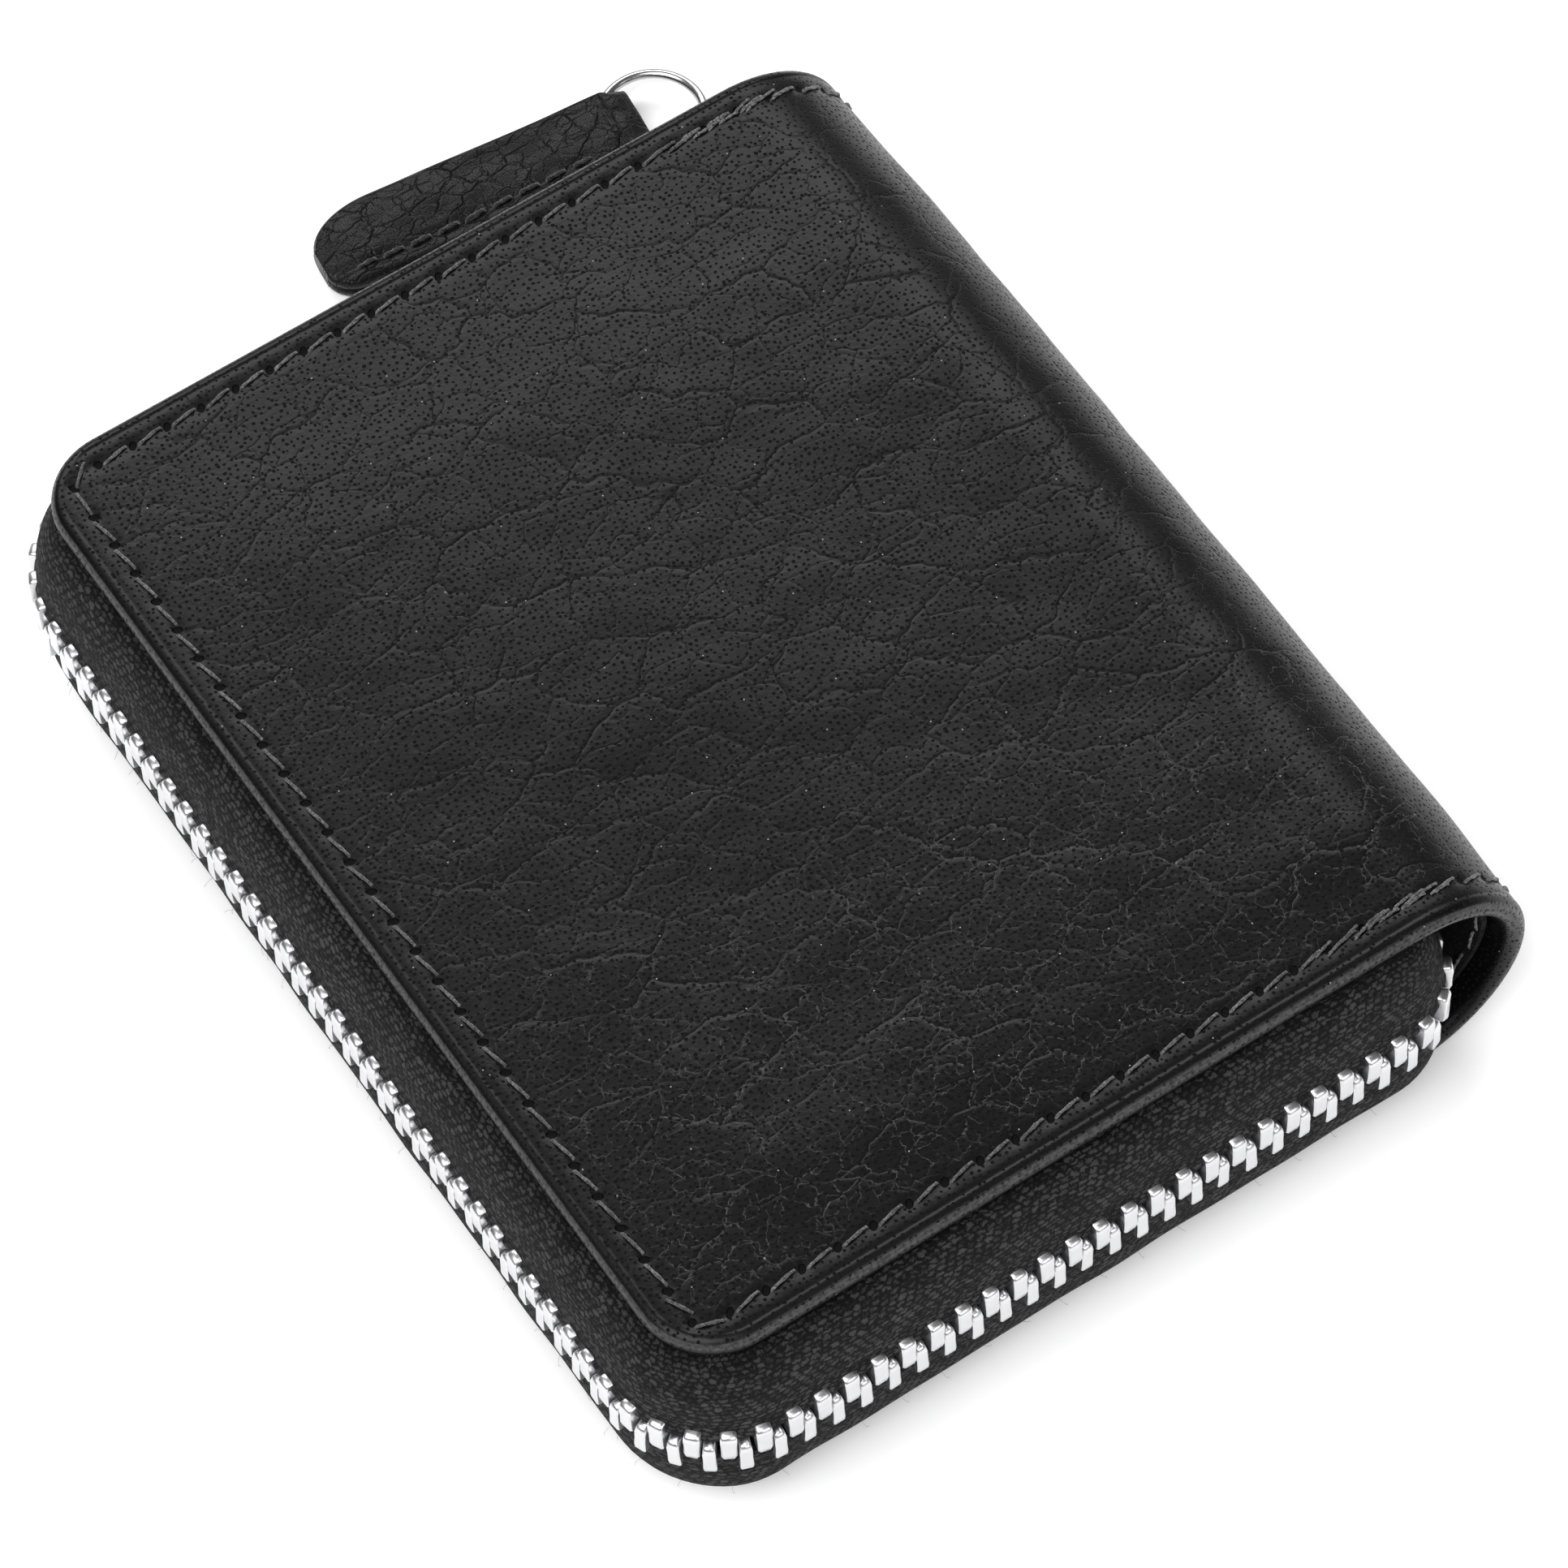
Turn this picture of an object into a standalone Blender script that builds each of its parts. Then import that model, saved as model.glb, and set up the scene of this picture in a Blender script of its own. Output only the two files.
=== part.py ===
"""Zip-around leather coin purse, closed and lying on its back cover.

Frame: metres, +Z up, the back cover rests on z = 0. +X runs from the long zip side to the
spine, +Y from the near short side to the far short side, where the slider is parked.
"""
from math import cos, pi, radians, sin, sqrt

import bmesh
import bpy
from mathutils import Matrix, Vector

for old in list(bpy.data.objects):
    bpy.data.objects.remove(old, do_unlink=True)

MM = 0.001

# ---- driving dimensions, in millimetres ----
LENGTH = 97.3                 # cover length along Y
WIDTH = 78.0                  # cover edge to the outside of the spine, along X
HEIGHT = 22.2                 # outside of the back cover to the outside of the front cover
COVER_CORNER = 6.5            # corner radius of the covers on the zip side
LEATHER = 1.1                 # single leather
EDGE = 2.0                    # turned and sewn edge
RIM = 7.0                     # width of the turned-in border
GAP = 0.2                     # air between neighbouring layers

CHAIN_OUT = 2.5               # chain centre line outside the cover edge
HOME_OUT = 1.0                # the same on the far side, where the parked slider draws the tape in
CHAIN_CORNER = COVER_CORNER + CHAIN_OUT
PITCH = 2.54                  # tooth pitch of a size 5 chain
ROW_SPLIT = 0.4               # each row of teeth stops this far from the middle
TOOTH = (0.95, 2.3, 2.5)      # along the chain, across it, up the tape
BEAD = 1.6                    # beaded tape edge that the teeth grip

LINING = 0.5
LINING_IN = 2.6               # cover edge to lining edge
LINING_CORNER = 4.0
LINING_LIFT = 3.3             # outside of the cover to the lining
BOARD = 0.6
STEP_X = 20.5                 # from here to the spine the leather is as thick as the sewn edge
SPINE_CUT = 45.0              # the spine's own node covers this angle each way
CUT_GAP = 1.0                 # half the gap at that cut, in degrees

POCKET_LEFT = -36.4           # sewn side of the pockets
POCKET_HALF = 45.6            # half their length
SLOT = (3.95, 1.35, 1.5)      # outside of the cover to the first card slot, its height, and the step
SLOT_MOUTH = (16.0, 8.0)      # mouth of the first card slot, and how far each next one is set back
SLOT_PLATE = 0.5
COIN_MOUTH = 17.0
COIN_TOP = 9.4
COIN_PLATE = 0.7
PLEAT = (2.2, 0.6)            # depth and thickness of a gusset's fold
PLEAT_GAP = 0.15

SLIDER = (10.0, 7.2, 0.75)    # length, width, plate thickness
SLIDER_X = 26.0               # middle of the parked slider
WIRE = 0.8                    # pull link wire
RING_WIRE = 0.86
RING_RADIUS = 4.52            # centre line of the ring wire
RING_Z = 1.95
TAB = (30.5, 7.9, 2.5)        # leather pull tab: length, width, thickness at the stitching
FOLD = 3.8                    # thickness of the tab's fold round the ring

# ---- derived places ----
HALF = LENGTH / 2
MID = HEIGHT / 2              # the chain runs at mid height
LEFT = -WIDTH / 2
BEND_X = WIDTH / 2 - MID      # the spine is a half round about this line
CHAIN_Y = HALF + CHAIN_OUT
HOME_Y = HALF + HOME_OUT
CHAIN_X = LEFT - CHAIN_OUT


# ---- helpers ----
def material(name, colour, roughness, metallic=0.0):
    mat = bpy.data.materials.new(name)
    mat.use_nodes = True
    shader = mat.node_tree.nodes["Principled BSDF"]
    shader.inputs["Base Color"].default_value = (*colour, 1.0)
    shader.inputs["Roughness"].default_value = roughness
    shader.inputs["Metallic"].default_value = metallic
    return mat


FINISH = {
    "leather": ((0.018, 0.018, 0.019), 0.42, 0.0),
    "lining": ((0.008, 0.008, 0.009), 0.85, 0.0),
    "tape": ((0.012, 0.012, 0.013), 0.9, 0.0),
    "metal": ((0.62, 0.62, 0.60), 0.28, 1.0),
    "board": ((0.30, 0.27, 0.22), 0.9, 0.0),
}


def finish_object(bm, name, finish, smooth_angle=35.0):
    """Turn a bmesh in millimetres into a named object in metres."""
    bmesh.ops.recalc_face_normals(bm, faces=bm.faces)
    bmesh.ops.transform(bm, matrix=Matrix.Scale(MM, 4), verts=bm.verts)
    mesh = bpy.data.meshes.new(name)
    bm.to_mesh(mesh)
    bm.free()
    mesh.shade_smooth()
    mesh.set_sharp_from_angle(angle=radians(smooth_angle))
    obj = bpy.data.objects.new(name, mesh)
    bpy.context.collection.objects.link(obj)
    if finish:
        colour, roughness, metallic = FINISH[finish]
        mesh.materials.append(material(name, colour, roughness, metallic))
    return obj


def loft(bm, sections, closed=False):
    """Join equal rings of points into a tube; an open run of rings gets end caps."""
    rings = [[bm.verts.new(point) for point in section] for section in sections]
    count = len(rings[0])
    pairs = list(zip(rings, rings[1:]))
    if closed:
        pairs.append((rings[-1], rings[0]))
    for ring, following in pairs:
        for i in range(count):
            j = (i + 1) % count
            bm.faces.new((ring[i], ring[j], following[j], following[i]))
    if not closed:
        bm.faces.new(rings[0])
        bm.faces.new(reversed(rings[-1]))


def add_box(bm, low, high):
    """A box between two corners."""
    x0, y0, z0 = low
    x1, y1, z1 = high
    loft(bm, [[(x, y0, z0), (x, y1, z0), (x, y1, z1), (x, y0, z1)] for x in (x0, x1)])


def prism(bm, outline, z0, z1):
    """A flat outline in plan, from one height to another."""
    loft(bm, [[(x, y, z) for x, y in outline] for z in (z0, z1)])


def helper(bm, name):
    """A cutting or joining shape that is not a piece of its own."""
    obj = finish_object(bm, name, None)
    obj.hide_render = True
    obj.display_type = 'WIRE'
    return obj


def boolean(obj, other, operation):
    mod = obj.modifiers.new(operation.lower() + " " + other.name, 'BOOLEAN')
    mod.operation = operation
    mod.object = other
    mod.solver = 'EXACT'
    mod.material_mode = 'INDEX'


def arc(cx, cy, radius, start, end, steps):
    """Plan points on an arc, angles in degrees."""
    angles = [radians(start + (end - start) * i / steps) for i in range(steps + 1)]
    return [(cx + radius * cos(a), cy + radius * sin(a)) for a in angles]


def flip(z, front):
    """A height measured from the back cover, mirrored for the front half."""
    return HEIGHT - z if front else z


# ---- covers, spine and linings ----
def wall_profile(radius, thickness, flat_thickness, step_x, end_x, degrees):
    """Outer and inner points in XZ from the flat panel round the spine, for the back half.

    degrees runs from -90 (panel side) up to the given angle.
    """
    points = [((end_x, MID - radius), (end_x, MID - radius + flat_thickness))]
    if step_x is not None:
        points.append(((step_x, MID - radius), (step_x, MID - radius + flat_thickness)))
        points.append(((step_x + 0.5, MID - radius), (step_x + 0.5, MID - radius + thickness)))
    steps = 6
    for i in range(steps + 1):
        a = radians(-90 + (degrees + 90) * i / steps)
        outer = (BEND_X + radius * cos(a), MID + radius * sin(a))
        inner = (BEND_X + (radius - thickness) * cos(a), MID + (radius - thickness) * sin(a))
        points.append((outer, inner))
    return points


def wall_sections(profile, half_width, front=False):
    sections = []
    for (xo, zo), (xi, zi) in profile:
        w = half_width(xo)
        zo, zi = flip(zo, front), flip(zi, front)
        sections.append([(xo, -w, zo), (xo, w, zo), (xi, w, zi), (xi, -w, zi)])
    return sections


def rounded_width(half, left, corner):
    """Half width in Y at x, for a panel whose left corners are round."""
    def width(x):
        run = min(max(corner - (x - left), 0.0), corner)
        return half - corner + sqrt(max(corner ** 2 - run ** 2, 0.01))
    return width


def corner_stations(left, corner, steps=6):
    """X places that follow the round left corners."""
    return [left + corner * (1 - cos(pi / 2 * i / steps)) for i in range(steps)]


def make_cover(name, front):
    width = rounded_width(HALF, LEFT, COVER_CORNER)
    profile = wall_profile(MID, EDGE, LEATHER, STEP_X, LEFT + COVER_CORNER, -SPINE_CUT - CUT_GAP)
    lead = [((x, 0.0), (x, LEATHER)) for x in corner_stations(LEFT, COVER_CORNER)]
    bm = bmesh.new()
    loft(bm, wall_sections(lead + profile, width, front))
    cover = finish_object(bm, name, "leather")
    # The turned-in border, a hair inside the outline so that the edge reads as folded.
    inset = 0.15
    outer = panel_outline(LEFT + inset, STEP_X + 1.0, HALF - inset, COVER_CORNER - inset)
    inner = panel_outline(LEFT + RIM, WIDTH, HALF - RIM, 1.0)
    bm = bmesh.new()
    low, high = sorted((flip(LEATHER - 0.3, front), flip(EDGE, front)))
    prism(bm, outer, low, high)
    rim = helper(bm, name + "_rim")
    bm = bmesh.new()
    prism(bm, inner, -5.0, HEIGHT + 5.0)
    boolean(rim, helper(bm, name + "_rim_cut"), 'DIFFERENCE')
    boolean(cover, rim, 'UNION')
    return cover


def panel_outline(left, right, half, corner):
    """Plan outline with round corners on the left."""
    points = [(right, -half)]
    points.append((right, half))
    points += arc(left + corner, half - corner, corner, 90, 180, 6)
    points += arc(left + corner, -half + corner, corner, 180, 270, 6)
    return points


def make_spine(name, radius, thickness, half, finish):
    """The middle quarter of the half-round spine."""
    sections = []
    for i in range(9):
        a = radians((SPINE_CUT - CUT_GAP) * (i / 4 - 1))
        ends = []
        for r in (radius, radius - thickness):
            ends.append((BEND_X + r * cos(a), MID + r * sin(a)))
        (xo, zo), (xi, zi) = ends
        sections.append([(xo, -half, zo), (xo, half, zo), (xi, half, zi), (xi, -half, zi)])
    bm = bmesh.new()
    loft(bm, sections)
    return finish_object(bm, name, finish)


def make_lining(name, front):
    half = HALF - LINING_IN
    left = LEFT + LINING_IN
    corner = LINING_CORNER
    radius = MID - EDGE - GAP
    width = rounded_width(half, left, corner)
    lead = corner_stations(left, corner) + [left + corner, STEP_X + 0.5]
    points = [((x, LINING_LIFT), (x, LINING_LIFT + LINING)) for x in lead]
    points.append(((STEP_X + 3.5, EDGE + GAP), (STEP_X + 3.5, EDGE + GAP + LINING)))
    points += wall_profile(radius, LINING, LINING, None, BEND_X, -SPINE_CUT - 2 * CUT_GAP)[1:]
    bm = bmesh.new()
    loft(bm, wall_sections(points, width, front))
    return finish_object(bm, name, "lining")


def make_board(name, front):
    lift, clear = 0.15, 0.4
    low, high = sorted((flip(LEATHER + lift, front), flip(LEATHER + lift + BOARD, front)))
    outline = panel_outline(LEFT + RIM + clear, STEP_X - 0.7, HALF - RIM - clear, 1.5)
    bm = bmesh.new()
    prism(bm, outline, low, high)
    return finish_object(bm, name, "board")


# ---- the zip: everything follows one plan curve ----
END_CURL = 6.2                # the chain turns in at the near end of the spine
END_CURL_X = 25.1
END_TAIL = 4.5
HOME_CURL = 2.5               # the tape turns in behind the parked slider
HOME_CURL_X = 31.2


SEWN_TO = 22.0                # the tape is sewn under the cover up to here


def zip_line():
    """Stations along the chain, far end first: x, y, outward normal, sewn share, free share.

    sewn is 1 where the tape's flange lies under the cover; free is 1 where its end hangs loose.
    """
    stations = []

    def bend(cx, cy, radius, start, end, count, sewn=1.0, free=(0.0, 0.0)):
        for i in range(count + 1):
            a = radians(start + (end - start) * i / count)
            loose = free[0] + (free[1] - free[0]) * i / count
            stations.append((cx + radius * cos(a), cy + radius * sin(a), cos(a), sin(a), sewn, loose))

    bend(HOME_CURL_X, HOME_Y - HOME_CURL, HOME_CURL, 0, 90, 5, 0.0, (2.2, 1.0))
    for x, sewn, free in ((SEWN_TO + 4.0, 0.0, 0.3), (SEWN_TO, 0.0, 0.0), (SEWN_TO - 4.0, 1.0, 0.0)):
        stations.append((x, HOME_Y, 0.0, 1.0, sewn, free))
    bend(CHAIN_X + CHAIN_CORNER, HOME_Y - CHAIN_CORNER, CHAIN_CORNER, 90, 180, 9)
    bend(CHAIN_X + CHAIN_CORNER, -CHAIN_Y + CHAIN_CORNER, CHAIN_CORNER, 180, 270, 9)
    for x, sewn in ((SEWN_TO - 4.0, 1.0), (SEWN_TO, 0.0)):
        stations.append((x, -CHAIN_Y, 0.0, -1.0, sewn, 0.0))
    bend(END_CURL_X, -CHAIN_Y + END_CURL, END_CURL, 270, 360, 8, 0.0, (0.0, 1.0))
    x = END_CURL_X + END_CURL
    stations.append((x, -CHAIN_Y + END_CURL + END_TAIL, 1.0, 0.0, 0.0, 1.0))
    return stations


def lengths(stations):
    """Distance run along the line at each station."""
    runs = [0.0]
    for start, end in zip(stations, stations[1:]):
        runs.append(runs[-1] + sqrt((end[0] - start[0]) ** 2 + (end[1] - start[1]) ** 2))
    return runs


def at_length(stations, runs, s):
    """Point and outward normal at a distance along the line."""
    for i in range(len(runs) - 1):
        if runs[i + 1] >= s:
            break
    t = (s - runs[i]) / (runs[i + 1] - runs[i])
    x, y, nx, ny = (a + (b - a) * t for a, b in zip(stations[i][:4], stations[i + 1][:4]))
    size = sqrt(nx * nx + ny * ny)
    return x, y, nx / size, ny / size


ZIP = zip_line()
RUN = lengths(ZIP)
TEETH_FROM = RUN[5] + 1.4      # the last tooth stands inside the parked slider
TEETH_TO = RUN[-1] - 3.0


def tape_section(sewn, free, front):
    """Tape cross-section as (offset, height): a sewn-in flange, then a slope out to the chain."""
    flange = 4.2 * sewn + 0.05
    bulge = 0.0 if front else 0.9
    lift = 1.4 * free                    # a free end is lower and stands more upright
    knee = -1.3 + bulge + 0.6 * free
    top = -2.5 + bulge / 2 + 0.9 * min(free, 1.0)
    outer = [(0.3, 7.9), (knee, 3.9 + lift), (top, 2.4 + lift), (top - 0.5 - flange, 2.4 + lift)]
    inner = [(-0.4, 7.9), (knee - 0.65, 4.1 + lift), (top - 0.5, 3.0 + lift)]
    inner.append((top - 0.5 - flange, 3.0 + lift))
    return [(offset, flip(z, front)) for offset, z in outer + inner[::-1]]


def make_tape(name, front):
    sections = []
    for x, y, nx, ny, sewn, free in ZIP:
        section = tape_section(sewn, free, front)
        sections.append([(x + nx * d, y + ny * d, z) for d, z in section])
    bm = bmesh.new()
    loft(bm, sections)
    return finish_object(bm, name, "tape")


def make_teeth(name, front):
    """One row of teeth on its bead: a comb."""
    run_x, across, up = TOOTH
    bead_low = MID - ROW_SPLIT - up + 0.3
    bead_top = bead_low + 1.0
    bead = [(-BEAD / 2, bead_low), (BEAD / 2, bead_low), (BEAD / 2, bead_top), (-BEAD / 2, bead_top)]
    count = int((TEETH_TO - TEETH_FROM) / PITCH)
    first = TEETH_FROM + (PITCH / 2 if front else 0.0)
    stations = [at_length(ZIP, RUN, first - 0.6)]
    inside = [p[:4] for p, s in zip(ZIP, RUN) if first - 0.5 < s < first + count * PITCH - 0.5]
    stations += inside + [at_length(ZIP, RUN, first + count * PITCH - 0.4)]
    bm = bmesh.new()
    loft(bm, [[(x + nx * d, y + ny * d, flip(z, front)) for d, z in bead] for x, y, nx, ny in stations])
    comb = finish_object(bm, name, "metal")
    bm = bmesh.new()
    low, high = MID - ROW_SPLIT - up, MID - ROW_SPLIT
    for i in range(count):
        x, y, nx, ny = at_length(ZIP, RUN, first + i * PITCH)
        frame = Matrix(((-ny, nx, 0), (nx, ny, 0), (0, 0, 1))).transposed()
        sections = []
        for along in (-run_x / 2, run_x / 2):
            ring = []
            for side, z in ((-1, low), (1, low), (1, high), (-1, high)):
                local = frame @ Vector((along, side * across / 2, 0.0))
                ring.append((x + local.x, y + local.y, flip(z, front)))
            sections.append(ring)
        loft(bm, sections)
    boolean(comb, helper(bm, name + "_set"), 'UNION')
    return comb


def block_on_line(name, s, size, z0, z1, finish="metal"):
    """A small metal block across the chain at a distance along it."""
    x, y, nx, ny = at_length(ZIP, RUN, s)
    along, across = size
    outline = []
    for a, b in ((-1, -1), (1, -1), (1, 1), (-1, 1)):
        u, v = a * along / 2, b * across / 2
        outline.append((x - ny * u + nx * v, y + nx * u + ny * v))
    bm = bmesh.new()
    prism(bm, outline, z0, z1)
    return finish_object(bm, name, finish)


# ---- slider, link, ring and tab ----
CROWN = (3.55, 4.25)          # inner and outer face of the crown's bar, from the chain
CROWN_Y = HOME_Y + sum(CROWN) / 2
PLATE_IN = TOOTH[1] / 2 + 0.3
CROWN_FOOT = PLATE_IN + 0.4
LINK_X = 29.0
RING_CENTRE = Vector((29.05, 62.35, RING_Z))
LINK_HALF = 1.1
WEDGE = 0.2                   # half height of the wedge between the rows


def rounded_rect(half_x, half_z, corner, steps=3):
    points = []
    for cx, cz, start in ((1, 1, 0), (-1, 1, 90), (-1, -1, 180), (1, -1, 270)):
        points += arc(cx * (half_x - corner), cz * (half_z - corner), corner, start, start + 90, steps)
    return points


def make_slider():
    length, width, plate = SLIDER
    outline = rounded_rect(length / 2, width / 2, 1.6)
    body = None
    for side in (1, -1):
        y0 = HOME_Y + side * PLATE_IN
        y1 = y0 + side * plate
        bm = bmesh.new()
        loft(bm, [[(SLIDER_X + u, y, MID + v) for u, v in outline] for y in (y0, y1)])
        if side == 1:
            body = finish_object(bm, "slider_body", "metal")
        else:
            boolean(body, helper(bm, "slider_inner_plate"), 'UNION')
    # The thin wedge between the rows joins the two plates.
    bm = bmesh.new()
    reach = PLATE_IN + plate / 2
    add_box(bm, (SLIDER_X + 1.2, HOME_Y - reach, MID - WEDGE), (SLIDER_X + 4.4, HOME_Y + reach, MID + WEDGE))
    boolean(body, helper(bm, "slider_wedge"), 'UNION')
    # The crown: a bar on two legs, under which the link hangs.
    bm = bmesh.new()
    low, high = CROWN
    inner, outer, leg = SLIDER_X - 3.1, SLIDER_X + 3.9, 0.9
    profile = [(inner - leg, CROWN_FOOT), (inner - leg, high - 0.4), (inner, high), (outer, high)]
    profile += [(outer + leg, high - 0.4), (outer + leg, CROWN_FOOT), (outer, CROWN_FOOT)]
    profile += [(outer, low), (inner, low), (inner, CROWN_FOOT)]
    loft(bm, [[(x, HOME_Y + y, z) for x, y in profile] for z in (MID - 0.5, MID + 0.5)])
    boolean(body, helper(bm, "slider_crown"), 'UNION')
    return body


def wire_loop(name, centres, axis_u, axis_v, radius, finish="metal", sides=8):
    """A closed wire along a list of (centre line point, outward direction)."""
    normal = axis_u.cross(axis_v)
    bm = bmesh.new()
    sections = []
    for point, out in centres:
        ring = []
        for k in range(sides):
            a = 2 * pi * k / sides
            ring.append(point + out * (radius * cos(a)) + normal * (radius * sin(a)))
        sections.append(ring)
    loft(bm, sections, closed=True)
    return finish_object(bm, name, finish)


def make_link():
    top = Vector((LINK_X, CROWN_Y, MID))
    bottom = Vector((LINK_X, RING_CENTRE.y - RING_RADIUS, RING_Z))
    down = (bottom - top).normalized()
    side = Vector((1, 0, 0)).cross(down)
    centres = []
    for i in range(9):
        a = radians(-90 + 180 * i / 8)
        out = down * cos(a) + side * sin(a)
        centres.append((bottom + out * LINK_HALF, out))
    for i in range(9):
        a = radians(90 + 180 * i / 8)
        out = down * cos(a) + side * sin(a)
        centres.append((top + out * LINK_HALF, out))
    return wire_loop("pull_link", centres, down, side, WIRE / 2)


def make_ring():
    centres = []
    for i in range(32):
        a = 2 * pi * i / 32
        out = Vector((cos(a), sin(a), 0.0))
        centres.append((RING_CENTRE + out * RING_RADIUS, out))
    return wire_loop("pull_ring", centres, Vector((1, 0, 0)), Vector((0, 1, 0)), RING_WIRE / 2)


TAB_TURN = radians(-6.4)
TAB_FOLD_END = Vector((27.9, 62.3, 0.05))     # middle of the folded end, on the table


def make_tab():
    """Leather strip folded round the ring: a loop at one end, flat and sewn behind it."""
    length, width, thick = TAB
    half = width / 2
    steps = [(0.0, 2.4, 0.9), (0.3, 2.8, 0.45), (0.9, 3.3, 0.12), (2.3, half, 0.0)]
    sections = []

    def section(run, w, low, high):
        lip = 0.35
        shape = [(-w, low + lip), (-w + lip, low), (w - lip, low), (w, low + lip)]
        shape += [(w, high - lip), (w - lip, high), (-w + lip, high), (-w, high - lip)]
        sections.append([(-run, y, z) for y, z in shape])

    for run, w, shrink in steps:
        section(run, w, shrink, FOLD - shrink)
    section(4.6, half, 0.0, FOLD)
    section(7.5, half, 0.0, thick + 0.3)
    section(10.0, half, 0.0, thick)
    corner = 3.2
    for i in range(6):
        a = radians(90 * i / 5.4)
        section(length - corner + corner * sin(a), half - corner + corner * cos(a), 0.0, thick)
    bm = bmesh.new()
    loft(bm, sections)
    place = Matrix.Translation(TAB_FOLD_END) @ Matrix.Rotation(TAB_TURN, 4, 'Z')
    bmesh.ops.transform(bm, matrix=place, verts=bm.verts)
    tab = finish_object(bm, "pull_tab", "leather")
    bm = bmesh.new()
    middle = FOLD / 2
    outline = rounded_rect(2.0, 1.05, 1.0)
    loft(bm, [[(-2.95 + u, y, middle + v) for u, v in outline] for y in (-6.0, 6.0)])
    bmesh.ops.transform(bm, matrix=place, verts=bm.verts)
    boolean(tab, helper(bm, "tab_tunnel"), 'DIFFERENCE')
    return tab


# ---- pockets ----
def make_card_slot(index):
    """A card slot: a leather panel with three sewn sides, open towards the spine."""
    first, tall, step = SLOT
    deep = first + step * index
    mouth = SLOT_MOUTH[0] - SLOT_MOUTH[1] * index
    side, end = 1.6, 1.2
    low, high = flip(deep + tall, True), flip(deep, True)
    bm = bmesh.new()
    add_box(bm, (POCKET_LEFT, -POCKET_HALF, low), (mouth, POCKET_HALF, high))
    slot = finish_object(bm, "card_slot_%d" % (index + 1), "leather")
    bm = bmesh.new()
    half = POCKET_HALF - side
    add_box(bm, (POCKET_LEFT + end, -half, low + SLOT_PLATE), (mouth + 1.0, half, high + 1.0))
    boolean(slot, helper(bm, "card_slot_%d_cut" % (index + 1)), 'DIFFERENCE')
    return slot


def make_gusset(name, start, end, outward):
    """A one-fold gusset between the lining and the coin panel."""
    tuck, thick = PLEAT
    low = LINING_LIFT + LINING + PLEAT_GAP
    high = COIN_TOP - COIN_PLATE - PLEAT_GAP
    middle = (low + high) / 2
    wall = [(0.0, low), (-tuck, middle), (0.0, high)]
    wall += [(-thick, high), (-tuck - thick - PLEAT_GAP, middle), (-thick, low)]
    sections = []
    for point in (start, end):
        sections.append([(point[0] + outward[0] * d, point[1] + outward[1] * d, z) for d, z in wall])
    bm = bmesh.new()
    loft(bm, sections)
    return finish_object(bm, name, "lining")


def make_coin_pocket():
    bm = bmesh.new()
    add_box(bm, (POCKET_LEFT, -POCKET_HALF, COIN_TOP - COIN_PLATE), (COIN_MOUTH, POCKET_HALF, COIN_TOP))
    finish_object(bm, "coin_pocket_panel", "leather")
    edge = POCKET_HALF - 0.2
    left, right = POCKET_LEFT + 3.9, COIN_MOUTH - 0.5
    make_gusset("coin_gusset_near", (left, -edge), (right, -edge), (0, -1))
    make_gusset("coin_gusset_far", (left, edge), (right, edge), (0, 1))
    make_gusset("coin_gusset_bottom", (POCKET_LEFT + 0.2, 3.6 - edge), (POCKET_LEFT + 0.2, edge - 3.6), (-1, 0))


# ---- build ----
for side, is_front in (("front", True), ("back", False)):
    make_cover(side + "_cover", is_front)
    make_board(side + "_board", is_front)
    make_lining(side + "_lining", is_front)
make_spine("spine_cover", MID, EDGE, HALF, "leather")
make_spine("spine_lining", MID - EDGE - GAP, LINING, HALF - LINING_IN, "lining")
for side, is_front in (("upper", True), ("lower", False)):
    make_tape(side + "_zip_tape", is_front)
    make_teeth(side + "_teeth", is_front)
block_on_line("upper_top_stop", RUN[5] - 0.9, (1.2, 2.3), MID + 0.5, MID + 2.9)
block_on_line("lower_top_stop", RUN[5] - 0.9, (1.2, 2.3), MID - 2.9, MID - 0.5)
block_on_line("bottom_stop", RUN[-1] - 1.0, (1.6, 2.6), MID - 2.9, MID + 2.9)
make_slider()
make_link()
make_ring()
make_tab()
for number in range(3):
    make_card_slot(number)
make_coin_pocket()
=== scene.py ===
# %% [markdown]
# # A zip-around coin purse in black leather
# A lesson in building a small leather good round a fixed frame. The frame (covers, chain, slider, ring,
# tab, pockets) has the sizes and the joints. This script adds what makes it leather, thread, woven tape
# and nickel. Everything below works in millimetres and is turned to metres when a mesh is made.

from math import cos, pi, radians, sin, sqrt

import bmesh
import bpy
import numpy as np
from mathutils import Matrix, Vector


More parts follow.
